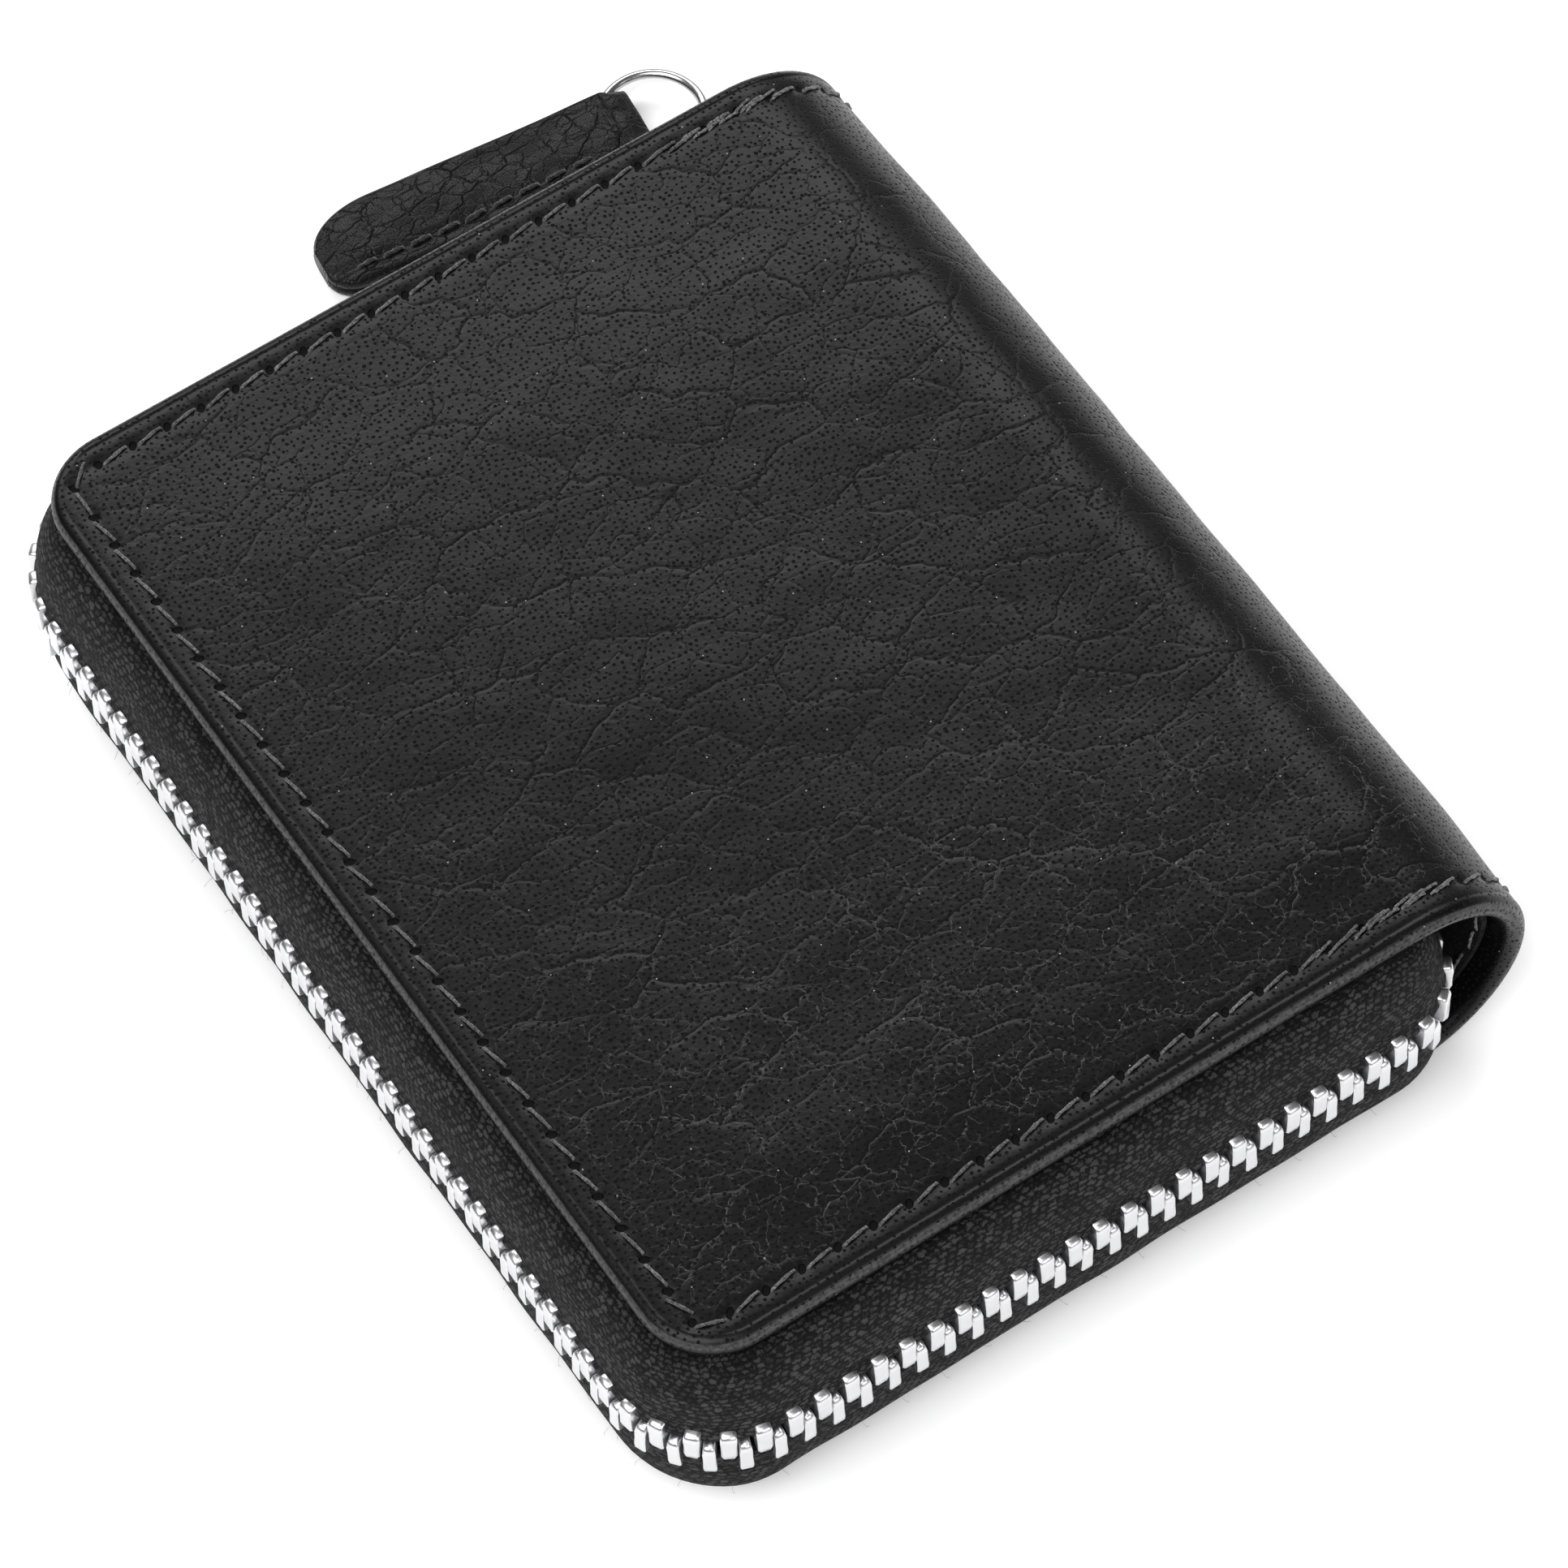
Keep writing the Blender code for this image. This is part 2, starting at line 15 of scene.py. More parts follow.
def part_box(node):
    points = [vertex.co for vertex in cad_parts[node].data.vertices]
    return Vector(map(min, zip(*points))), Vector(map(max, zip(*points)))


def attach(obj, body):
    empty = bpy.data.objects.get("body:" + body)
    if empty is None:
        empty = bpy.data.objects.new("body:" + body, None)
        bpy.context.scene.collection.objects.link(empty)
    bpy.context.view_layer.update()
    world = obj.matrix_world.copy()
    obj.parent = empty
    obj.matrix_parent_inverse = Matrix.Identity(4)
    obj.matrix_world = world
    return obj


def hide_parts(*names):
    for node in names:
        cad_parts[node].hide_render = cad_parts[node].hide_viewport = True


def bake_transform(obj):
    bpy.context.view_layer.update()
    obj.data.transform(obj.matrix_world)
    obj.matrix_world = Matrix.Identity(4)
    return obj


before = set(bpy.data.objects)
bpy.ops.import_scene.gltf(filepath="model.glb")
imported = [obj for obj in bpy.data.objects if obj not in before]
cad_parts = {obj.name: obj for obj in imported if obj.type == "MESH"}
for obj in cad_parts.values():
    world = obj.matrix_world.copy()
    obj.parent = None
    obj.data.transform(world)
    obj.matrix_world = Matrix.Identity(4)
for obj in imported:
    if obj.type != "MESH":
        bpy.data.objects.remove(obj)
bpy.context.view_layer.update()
MM = 0.001

# %% [markdown]
# ## Sizes
# The covers are one pattern of leather that runs from the zip side, flat across the panel, and round
# the spine. So the purse is measured once, from the frame's own boxes, and every piece is worked out
# from these few values.

# %% Sizes from the frame
def box_mm(node):
    low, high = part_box(node)
    return np.array(low) / MM, np.array(high) / MM


cover_low, cover_high = box_mm("front_cover")
spine_high = box_mm("spine_cover")[1]
HALF = float(cover_high[1])            # half the purse's length
TOP = float(cover_high[2])             # outside of the front cover
MID = TOP / 2
LEFT = float(cover_low[0])             # cover edge on the long zip side
BEND_R = TOP / 2                       # outside radius of the spine
BEND_X = float(spine_high[0]) - BEND_R
SPINE_S = BEND_X + BEND_R * pi / 2     # pattern length to the middle of the spine
CORNER = 6.5
EDGE = 2.0                             # thickness of the turned edge
SEAM = 2.8                             # sewing line to the edge
STITCH = 3.2                           # stitch length
CHAIN_OUT = 2.5
CHAIN_R = CORNER + CHAIN_OUT
CHAIN_Y = HALF + CHAIN_OUT
CHAIN_X = LEFT - CHAIN_OUT
HOME_Y = HALF + 1.0                    # the chain is drawn in where the slider parks
print("purse %.1f x %.1f x %.1f mm" % (spine_high[0] - LEFT, 2 * HALF, TOP))


# %% [markdown]
# ## Node helpers
# Shader trees and geometry trees are written with the same few helpers. One adds a node and fills its
# inputs. A Value is a number in a tree that can be added, multiplied and faded, so that the rules below
# read as formulas.

# %% Node helpers
def plug(node, inputs):
    """Fill a node's inputs with values or links, keyed by name or place."""
    for key, value in inputs.items():
        value = value.socket if isinstance(value, Value) else value
        if isinstance(value, bpy.types.NodeSocket):
            node.id_data.links.new(value, node.inputs[key])
        else:
            node.inputs[key].default_value = value
    return node


def add(tree, kind, inputs=None, **settings):
    made = tree.nodes.new(kind)
    for key, value in settings.items():
        setattr(made, key, value)
    return plug(made, inputs or {})


def calc(tree, operation, *values, clamp=False):
    made = add(tree, "ShaderNodeMath", dict(enumerate(values)), operation=operation, use_clamp=clamp)
    return Value(tree, made.outputs[0])


class Value:
    """A number in a node tree; each step on it adds one node."""

    def __init__(self, tree, socket):
        self.tree, self.socket = tree, socket

    def step(self, operation, *others, clamp=False):
        return calc(self.tree, operation, self, *others, clamp=clamp)

    def __add__(self, other):
        return self.step('ADD', other)

    def __sub__(self, other):
        return self.step('SUBTRACT', other)

    def __mul__(self, other):
        return self.step('MULTIPLY', other)

    def __truediv__(self, other):
        return self.step('DIVIDE', other)

    def __rsub__(self, other):
        return calc(self.tree, 'SUBTRACT', other, self)

    def __rtruediv__(self, other):
        return calc(self.tree, 'DIVIDE', other, self)

    def fade(self, start, end, low=0.0, high=1.0):
        """Smooth step from low at start to high at end."""
        inputs = {"Value": self, 1: start, 2: end, 3: low, 4: high}
        made = add(self.tree, "ShaderNodeMapRange", inputs, interpolation_type='SMOOTHSTEP')
        return Value(self.tree, made.outputs[0])


def vector(tree, operation, first, second):
    place = "Scale" if operation == 'SCALE' else 1
    return add(tree, "ShaderNodeVectorMath", {0: first, place: second}, operation=operation).outputs[0]


def axis(tree, place, index):
    return Value(tree, add(tree, "ShaderNodeSeparateXYZ", {0: place}).outputs[index])


def uv(tree, label):
    return add(tree, "ShaderNodeUVMap", uv_map=label).outputs["UV"]


def noise(tree, place, scale, detail, roughness=0.5, output="Fac"):
    inputs = {"Vector": place, "Scale": scale, "Detail": detail, "Roughness": roughness}
    return Value(tree, add(tree, "ShaderNodeTexNoise", inputs).outputs[output])


def blend_colour(tree, factor, first, second):
    return add(tree, "ShaderNodeMix", {0: factor, 6: first, 7: second}, data_type='RGBA').outputs[2]


def grey(value):
    return (value, value, value * 1.02, 1.0)


def new_group(name, inputs, outputs):
    """A shader node group with named sockets; gives the tree, its input values and its output node."""
    tree = bpy.data.node_groups.new(name, "ShaderNodeTree")
    for label, kind, value in inputs:
        socket = tree.interface.new_socket(label, in_out='INPUT', socket_type="NodeSocket" + kind)
        if value is not None:
            socket.default_value = value
    for label in outputs:
        tree.interface.new_socket(label, in_out='OUTPUT', socket_type="NodeSocketFloat")
    start = tree.nodes.new("NodeGroupInput")
    source = {socket.name: Value(tree, socket) for socket in start.outputs}
    return tree, source, tree.nodes.new("NodeGroupOutput")


def use_group(tree, group, inputs):
    made = add(tree, "ShaderNodeGroup", inputs, node_tree=group)
    return {socket.name: Value(tree, socket) for socket in made.outputs}


def new_material(name):
    mat = bpy.data.materials.new(name)
    mat.use_nodes = True
    return mat, mat.node_tree, mat.node_tree.nodes["Principled BSDF"]


def set_bump(tree, shader, height, strength, distance):
    inputs = {"Height": height, "Strength": strength, "Distance": distance * MM}
    plug(shader, {"Normal": add(tree, "ShaderNodeBump", inputs).outputs["Normal"]})


# %% [markdown]
# ## Leather
# Full-grain leather shows three things at three scales: hair pores about 0.2 mm wide and 0.6 mm apart,
# a net of natural creases with cells of 4 to 8 mm, and fine crackle where it was stretched. Pores and
# creases are one effect each, so each is a node group that every leather on the purse can use with its
# own values. They read a UV map that holds the flat pattern in millimetres, so the grain stays put when
# the leather bends.

# %% Pores
def make_pores():
    inputs = [("Pattern", "Vector", None), ("Spacing", "Float", 0.60), ("Size", "Float", 0.112)]
    tree, source, end = new_group("hair pores", inputs, ["Pore"])
    pattern, spacing, size = (source[label] for label, _, _ in inputs)
    drift = vector(tree, 'MULTIPLY', noise(tree, pattern, 0.16, 0.0, output="Color"), (1.0, 1.0, 0.0))
    moved = vector(tree, 'ADD', pattern, drift)
    cells = add(tree, "ShaderNodeTexVoronoi", {"Vector": moved, "Scale": 1.0 / spacing, "Randomness": 0.68},
                voronoi_dimensions='2D')
    own = Value(tree, add(tree, "ShaderNodeSeparateColor", {0: cells.outputs["Color"]}).outputs[0])
    reach = Value(tree, cells.outputs["Distance"]) * spacing
    plug(end, {"Pore": (reach / (size * (own * 0.5 + 0.75))).fade(1.15, 0.7)})
    return tree


PORES = make_pores()
print("group:", PORES.name)


# %% Creases
def make_creases():
    inputs = [("Pattern", "Vector", None), ("Cell", "Float", 7.0), ("Width", "Float", 0.2),
              ("Wander", "Float", 3.0), ("Seed", "Float", 0.0)]
    tree, source, end = new_group("grain creases", inputs, ["Line", "Valley"])
    pattern, cell, width, wander, seed = (source[label] for label, _, _ in inputs)
    offset = add(tree, "ShaderNodeCombineXYZ", {0: seed, 1: seed}).outputs[0]
    start = vector(tree, 'ADD', pattern, offset)
    drift = vector(tree, 'SUBTRACT', noise(tree, start, 1.1 / cell, 3.0, 0.55, "Color"), (0.5, 0.5, 0.5))
    moved = vector(tree, 'ADD', start, vector(tree, 'SCALE', drift, wander))
    cells = add(tree, "ShaderNodeTexVoronoi", {"Vector": moved, "Scale": 1.0 / cell},
                voronoi_dimensions='2D', feature='DISTANCE_TO_EDGE')
    share = Value(tree, cells.outputs["Distance"]) * cell / width
    present = noise(tree, start, 0.9 / cell, 3.0).fade(0.38, 0.60)
    bank = calc(tree, 'SUBTRACT', 1.0, share / 9.0, clamp=True)
    plug(end, {"Line": share.fade(1.0, 0.25) * present,
               "Valley": bank.step('POWER', 2.4) * (present * 0.7 + 0.3)})
    return tree


CREASES = make_creases()
print("group:", CREASES.name)


# %% [markdown]
# ## The cover leather
# The crease lines and the pores are painted darker, as painted shade in these small hollows; the stretched
# crackle is a little lighter, and the same masks drive the bump. A second UV map, "seam", counts stitches
# along the sewing line (whole numbers are the middle of a stitch) and holds the distance from it, so the
# shader can sink a hole between two stitches and paint it near black as painted shade. On the rolled
# edge a thin band is painted lighter as a painted highlight, and a thin line inboard of it is painted
# darker as painted shade.

# %% Cover leather
def make_leather(name, base, pore_depth, crease_depth, gloss, line=0.42, crackle=1.0, seam=True, scale=1.0):
    mat, tree, shader = new_material(name)
    pattern = uv(tree, "pattern")
    if scale != 1.0:
        pattern = vector(tree, 'SCALE', pattern, scale)
    stretch = vector(tree, 'MULTIPLY', pattern, (1.0, 1.35, 1.0))

    def net(place, cell, width, wander, seed):
        inputs = {"Pattern": place, "Cell": cell, "Width": width, "Wander": wander, "Seed": seed}
        return use_group(tree, CREASES, inputs)

    pore = use_group(tree, PORES, {"Pattern": pattern})["Pore"]
    broad = net(stretch, 7.4, 0.08, 6.5, 0.0)
    small = net(stretch, 3.7, 0.055, 3.6, 31.0)
    web = net(pattern, 1.7, 0.055, 2.0, 77.0)
    tone = noise(tree, pattern, 0.06, 3.0)
    grain = noise(tree, pattern, 2.6, 4.0, 0.6)
    # Crackle is strongest near the handled end and along the zip side.
    near = (tone * 30.0 + axis(tree, pattern, 1)).fade(8.0, -14.0)
    side = (tone * 30.0 + axis(tree, pattern, 0)).fade(-4.0, -22.0, 0.0, 0.55)
    worn = near.step('MAXIMUM', side) * crackle
    lines = (web["Line"] * 0.85).step('MAXIMUM', small["Line"].step('MAXIMUM', broad["Line"]))
    cracks = lines * worn * grain.fade(0.40, 0.6, 0.15, 1.0)
    # dark: the crease lines that are painted darker as painted shade, less where the leather is worn.
    dark = broad["Line"].step('MAXIMUM', small["Line"] * 0.8) * ((1.0 - worn) * 0.9 + 0.1)
    valleys = small["Valley"] * 0.5 + broad["Valley"]
    if seam:
        rim = axis(tree, uv(tree, "rim"), 0)
        panel = rim.fade(2.4, 5.0, 0.08, 1.0)
        dark, cracks, valleys = dark * panel, cracks * panel, valleys * panel
    colour = blend_colour(tree, tone, grey(base * 0.8), grey(base * 1.25))
    # Painted shade: the crease lines are painted darker.
    colour = blend_colour(tree, dark * line, colour, grey(base * 0.1))
    colour = blend_colour(tree, cracks * 0.75, colour, grey(0.085))
    # Painted shade: the pores are painted near black, as the shade in the tiny holes.
    colour = blend_colour(tree, pore * 0.95, colour, grey(base * 0.05))
    dust = add(tree, "ShaderNodeTexVoronoi", {"Vector": pattern, "Scale": 0.16}, voronoi_dimensions='2D')
    speck = Value(tree, dust.outputs["Distance"]).fade(0.012, 0.007)
    colour = blend_colour(tree, speck, colour, grey(0.30))
    height = grain * 0.22 - pore * pore_depth - valleys * crease_depth - dark * (line * 0.5) + cracks * 0.2
    hollow = (dark * line).step('MAXIMUM', pore)
    rough = hollow.step('MULTIPLY_ADD', 0.55, tone * 0.10 + gloss, clamp=True)
    if seam:
        sewn = uv(tree, "seam")
        along = (axis(tree, sewn, 0).step('FRACT') - 0.5) * (STITCH / 0.42)
        across = along * 0.35 + axis(tree, sewn, 1) / 0.46
        # Painted shade: each stitch hole is painted near black and sunk by the bump.
        hole = (along * along + across * across).fade(0.8, 0.2)
        colour = blend_colour(tree, hole, colour, grey(0.0004))
        height = height - hole * 3.0
        rough = rough.step('MAXIMUM', hole)
        # Painted highlight: a thin lighter band on the outer side of the rolled edge, broken up by the grain.
        edge_highlight = rim.fade(0.34, 0.2) * rim.fade(-0.4, -0.15) * grain.fade(0.3, 0.65, 0.25, 0.9)
        colour = blend_colour(tree, edge_highlight, colour, grey(0.075))
        # Painted shade: a thin darker line just inboard of the edge highlight, as the shade of a groove.
        groove_shade = (rim - 0.5).step('ABSOLUTE').fade(0.16, 0.05)
        colour = blend_colour(tree, groove_shade, colour, grey(base * 0.15))
    plug(shader, {"Base Color": colour, "Roughness": rough, "Specular IOR Level": 0.24})
    set_bump(tree, shader, height, 1.0, 0.12)
    return mat


COVER_LEATHER = make_leather("cover leather", 0.0022, 1.6, 0.33, 0.30)
print("material:", COVER_LEATHER.name)


# %% [markdown]
# ## Mesh helpers
# A pattern piece is a cloud of points with faces, UVs in millimetres, and a smooth surface. Points that
# meet are welded before the mesh is made, so that seams and corners are closed.

# %% Mesh helpers
def weld(points, faces, *extras):
    """Merge points that lie together and drop faces that collapse."""
    keys = np.round(points, 4)
    _, first, place = np.unique(keys, axis=0, return_index=True, return_inverse=True)
    place = place.ravel()
    kept = []
    for face in faces:
        ring = [int(place[i]) for i in face]
        ring = [v for i, v in enumerate(ring) if v != ring[i - 1]]
        if len(set(ring)) > 2 and len(set(ring)) == len(ring):
            kept.append(ring)
    return points[first], kept, *[extra[first] for extra in extras]


def link_object(name, data):
    obj = bpy.data.objects.new(name, data)
    bpy.context.scene.collection.objects.link(obj)
    return obj


def raw_mesh(name, points, faces, outward=True):
    """A mesh from points in millimetres, with its faces turned outward."""
    mesh = bpy.data.meshes.new(name)
    mesh.from_pydata([tuple(p) for p in np.asarray(points, float) * MM], [], faces)
    if outward:
        bm = bmesh.new()
        bm.from_mesh(mesh)
        bmesh.ops.recalc_face_normals(bm, faces=bm.faces)
        bm.to_mesh(mesh)
        bm.free()
    return mesh


def make_mesh(name, points, faces, material, uvs=None, sharp=40.0, outward=True):
    """A named, smooth object, with one or more UV maps given per point."""
    mesh = raw_mesh(name, points, faces, outward)
    corner = np.zeros(len(mesh.loops), np.int32)
    mesh.loops.foreach_get("vertex_index", corner)
    for label, values in (uvs or {}).items():
        layer = mesh.uv_layers.new(name=label)
        layer.data.foreach_set("uv", np.asarray(values, np.float32)[corner].ravel())
    mesh.materials.append(material)
    mesh.shade_smooth()
    mesh.set_sharp_from_angle(angle=radians(sharp))
    return link_object(name, mesh)


def smooth(t):
    t = np.clip(t, 0.0, 1.0)
    return t * t * (3 - 2 * t)


def waves(s, y, length, seed):
    """Soft, repeatable unevenness between -1 and 1 with bumps about this long."""
    rng = np.random.default_rng(seed)
    total = np.zeros(np.broadcast(s, y).shape)
    for _ in range(9):
        angle, phase, stretch = rng.uniform(0, 2 * pi, 3)
        size = length * (0.7 + 0.1 * stretch)
        total = total + np.sin((s * cos(angle) + y * sin(angle)) * 2 * pi / size + phase)
    return total / 5.0


def run_along(line):
    """Distance along a flat line of points, at each of them."""
    return np.concatenate(([0.0], np.cumsum(np.hypot(*np.diff(line, axis=0).T))))


def grid_faces(rows, columns, start=0, closed=False):
    faces = []
    for i in range(rows - 1):
        for j in range(columns if closed else columns - 1):
            k = (j + 1) % columns
            faces.append((start + i * columns + j, start + i * columns + k,
                          start + (i + 1) * columns + k, start + (i + 1) * columns + j))
    return faces


def tube_faces(rows, sides):
    """Faces of a tube made of rings, with both ends capped."""
    ends = [list(range(sides)), [(rows - 1) * sides + k for k in range(sides)][::-1]]
    return grid_faces(rows, sides, closed=True) + ends


# %% [markdown]
# ## Bodies
# Each finished piece is attached to the body that carries it, and the pieces of the frame it stands for
# are hidden. A piece that bends round the spine keeps its shape baked in place, and the pieces of the frame
# it stands for are hidden too.

# %% Carrying pieces
def keep(obj, slot, body, *nodes):
    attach(obj, body)
    if nodes:
        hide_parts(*nodes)
    return obj


def keep_bent(obj, slot, front, *nodes):
    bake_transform(obj)
    if nodes:
        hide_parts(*nodes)
    return obj


# %% [markdown]
# ## The covers
# The real purse is cut from one piece of leather. Its edge is skived, turned in over a board and sewn
# 2.8 mm from the fold, so the edge is round, a faint bead runs along it, the seam pulls the leather down
# and the panel stands a little proud inside the seam. The pattern is laid out flat: a band that follows
# the three sewn sides with dense rows near the edge, and a plain grid inside it. Then it is bent round
# the spine. It is made as a front and a back half that meet in the middle of the spine.

# %% The edge line and the sewing line
FINE = 0.45                            # mesh step on the panel
FAR_OFF = 50.0                         # distance from the seam and the rim that the panel is given


def edge_columns():
    """Points along the sewn edge from the spine's near end round to its far end: s, y, normal, seam depth."""
    cx, cy = LEFT + CORNER, HALF - CORNER
    across = np.linspace(cx, SPINE_S, int((SPINE_S - cx) / FINE) + 1)
    along = np.linspace(-cy, cy, int(2 * cy / FINE) + 1)
    rows = [(s, -HALF, 0.0, -1.0, SEAM) for s in across[::-1]]
    for quarter in (0, 1):
        if quarter:
            rows += [(LEFT, y, -1.0, 0.0, SEAM) for y in along[1:-1]]
        for i in range(0, 19):
            t = radians(90 * i / 18)
            turn = 1.5 * pi - t if not quarter else pi - t
            nx, ny = cos(turn), sin(turn)
            reach = min((CORNER - SEAM) / max(abs(nx), abs(ny)), CORNER - SEAM + 1.0)
            rows.append((cx + CORNER * nx, (cy if quarter else -cy) + CORNER * ny, nx, ny, CORNER - reach))
    rows += [(s, HALF, 0.0, 1.0, SEAM) for s in across[1:]]
    return np.array(rows), across, along


def wrap(s, y, lift, front):
    """Bend the flat pattern round the spine; lift is the height above the outer face."""
    s, y, lift = np.broadcast_arrays(np.asarray(s, float), y, lift)
    turn = np.clip((s - BEND_X) / BEND_R, 0, None)
    x = np.where(turn > 0, BEND_X + (BEND_R + lift) * np.sin(turn), s)
    z = BEND_R + (BEND_R + lift) * np.cos(turn)
    return np.stack((x, y, z if front else TOP - z), -1)


COLUMNS, ACROSS, ALONG = edge_columns()
sewing = COLUMNS[:, :2] - COLUMNS[:, 2:4] * COLUMNS[:, 4:5]
sewing_run = run_along(sewing)
STITCHES = int(sewing_run[-1] / STITCH)
SEAM_COUNT = sewing_run / sewing_run[-1] * STITCHES
print("sewing line %.0f mm, %d stitches" % (sewing_run[-1], STITCHES))


# %% The leather's relief
def relief(s, y, seam_count, seam_off, front):
    """Height of the leather over its flat pattern."""
    inboard = np.minimum(s - LEFT, HALF - np.abs(y))
    panel = smooth((s - LEFT - 3.0) / 13) * smooth((HALF + y - 3.0) / 8) * smooth((HALF - y - 3.0) / 18)
    near_seam = np.exp(-(seam_off / 0.55) ** 2)
    hole = np.exp(-((np.mod(seam_count, 1.0) - 0.5) * STITCH / 0.5) ** 2)
    lift = -0.16 * near_seam * (0.5 + 0.8 * hole)
    lift = lift - 0.05 * np.exp(-((inboard - 1.2) / 0.2) ** 2)
    uneven = 0.10 * waves(s, y, 34.0, 3) + 0.05 * waves(s, y, 12.0, 5) + 0.025 * waves(s, y, 5.0, 8)
    if front:
        return lift + panel * (0.34 + uneven)
    return np.minimum(lift, 0.0) - 0.02 + panel * 0.02


def make_cover_half(name, front):
    rows = [CORNER, 5.6, 4.8, 4.2, 3.8, 3.5, 3.25, 3.0, 2.8, 2.6, 2.35, 2.1, 1.8, 1.55, 1.35, 1.2, 1.08]
    fold = EDGE / 2
    profile = [(d, None, d) for d in rows]
    for angle in (90, 76, 62, 48, 34, 20, 6, -10, -28, -46, -66, -90):
        a = radians(angle)
        profile.append((fold - fold * cos(a), fold * sin(a) - fold, fold - (pi / 2 - a) * fold))
    profile += [(3.0, -EDGE, -fold * pi + fold - 2.0), (CORNER, -EDGE, -fold * pi + fold - 5.5)]
    points, pattern = [], []
    for s, y, nx, ny, _ in COLUMNS:
        for d, drop, reach in profile:
            points.append((s - nx * d, y - ny * d, drop or 0.0))
            pattern.append((s - nx * reach, y - ny * reach))
    rim = np.tile([reach for _, _, reach in profile], len(COLUMNS))
    seam = rim - np.repeat(COLUMNS[:, 4], len(profile))
    count = np.repeat(SEAM_COUNT, len(profile))
    inner_s, inner_y = np.meshgrid(ACROSS, ALONG, indexing="ij")
    inner = np.stack((inner_s.ravel(), inner_y.ravel(), np.zeros(inner_s.size)), -1)
    band = len(points)
    faces = grid_faces(len(COLUMNS), len(profile))
    faces += grid_faces(len(ACROSS), len(ALONG), band)
    # The inside is closed with long strips from side to side.
    last = len(profile) - 1
    near = [i * len(profile) + last for i in range(len(ACROSS))][::-1]
    far = [(len(COLUMNS) - len(ACROSS) + i) * len(profile) + last for i in range(len(ACROSS))]
    for i in range(1, len(ACROSS) - 1):
        faces.append((near[i], near[i + 1], far[i + 1], far[i]))
    left = [j * len(profile) + last for j in range(len(ACROSS) - 1, len(COLUMNS) - len(ACROSS) + 1)]
    faces.append([near[1]] + left + [far[1]])
    # The cut across the middle of the spine.
    start = list(range(len(profile)))
    finish = [(len(COLUMNS) - 1) * len(profile) + k for k in range(len(profile))]
    cut = [band + (len(ACROSS) - 1) * len(ALONG) + j for j in range(len(ALONG))]
    faces.append(start[::-1][:-1] + cut + finish[1:])
    flat = np.concatenate((points, inner))
    pattern = np.concatenate((pattern, inner[:, :2]))
    seam = np.concatenate((seam, np.full(len(inner), FAR_OFF)))
    rim = np.concatenate((rim, np.full(len(inner), FAR_OFF)))
    count = np.concatenate((count, np.zeros(len(inner))))
    top_side = np.array([drop is None for _, drop, _ in profile] * len(COLUMNS) + [True] * len(inner))
    raised = relief(flat[:, 0], flat[:, 1], count, seam, front)
    lift = flat[:, 2] + np.where(top_side, raised, 0.0)
    shaped = wrap(flat[:, 0], flat[:, 1], lift, front)
    seam_uv = np.stack((count, seam), -1)
    rim_uv = np.stack((rim, rim * 0.0), -1)
    # Weld on the flat pattern, so that the corner fans meet the grid.
    _, kept, shaped, pattern, seam_uv, rim_uv = weld(flat, faces, shaped, pattern, seam_uv, rim_uv)
    print(name, len(kept), "faces")
    uvs = {"pattern": pattern, "seam": seam_uv, "rim": rim_uv}
    return make_mesh(name, shaped, kept, COVER_LEATHER, uvs, sharp=50.0)


# %% Front and back halves
keep_bent(make_cover_half("front_leather", True), "leather", True, "front_cover", "spine_cover")
keep_bent(make_cover_half("back_leather", False), "leather", False, "back_cover")


# %% [markdown]
# ## Things that repeat along a line
# Stitches, teeth and fluff all sit at even steps along a line, turned to follow it. One Geometry Nodes
# tree does them all: it takes a line of points that carries an "up" direction, shares out a number of
# copies along it, turns each to the line, and makes the copies real so that they leave the script as
# one plain mesh.

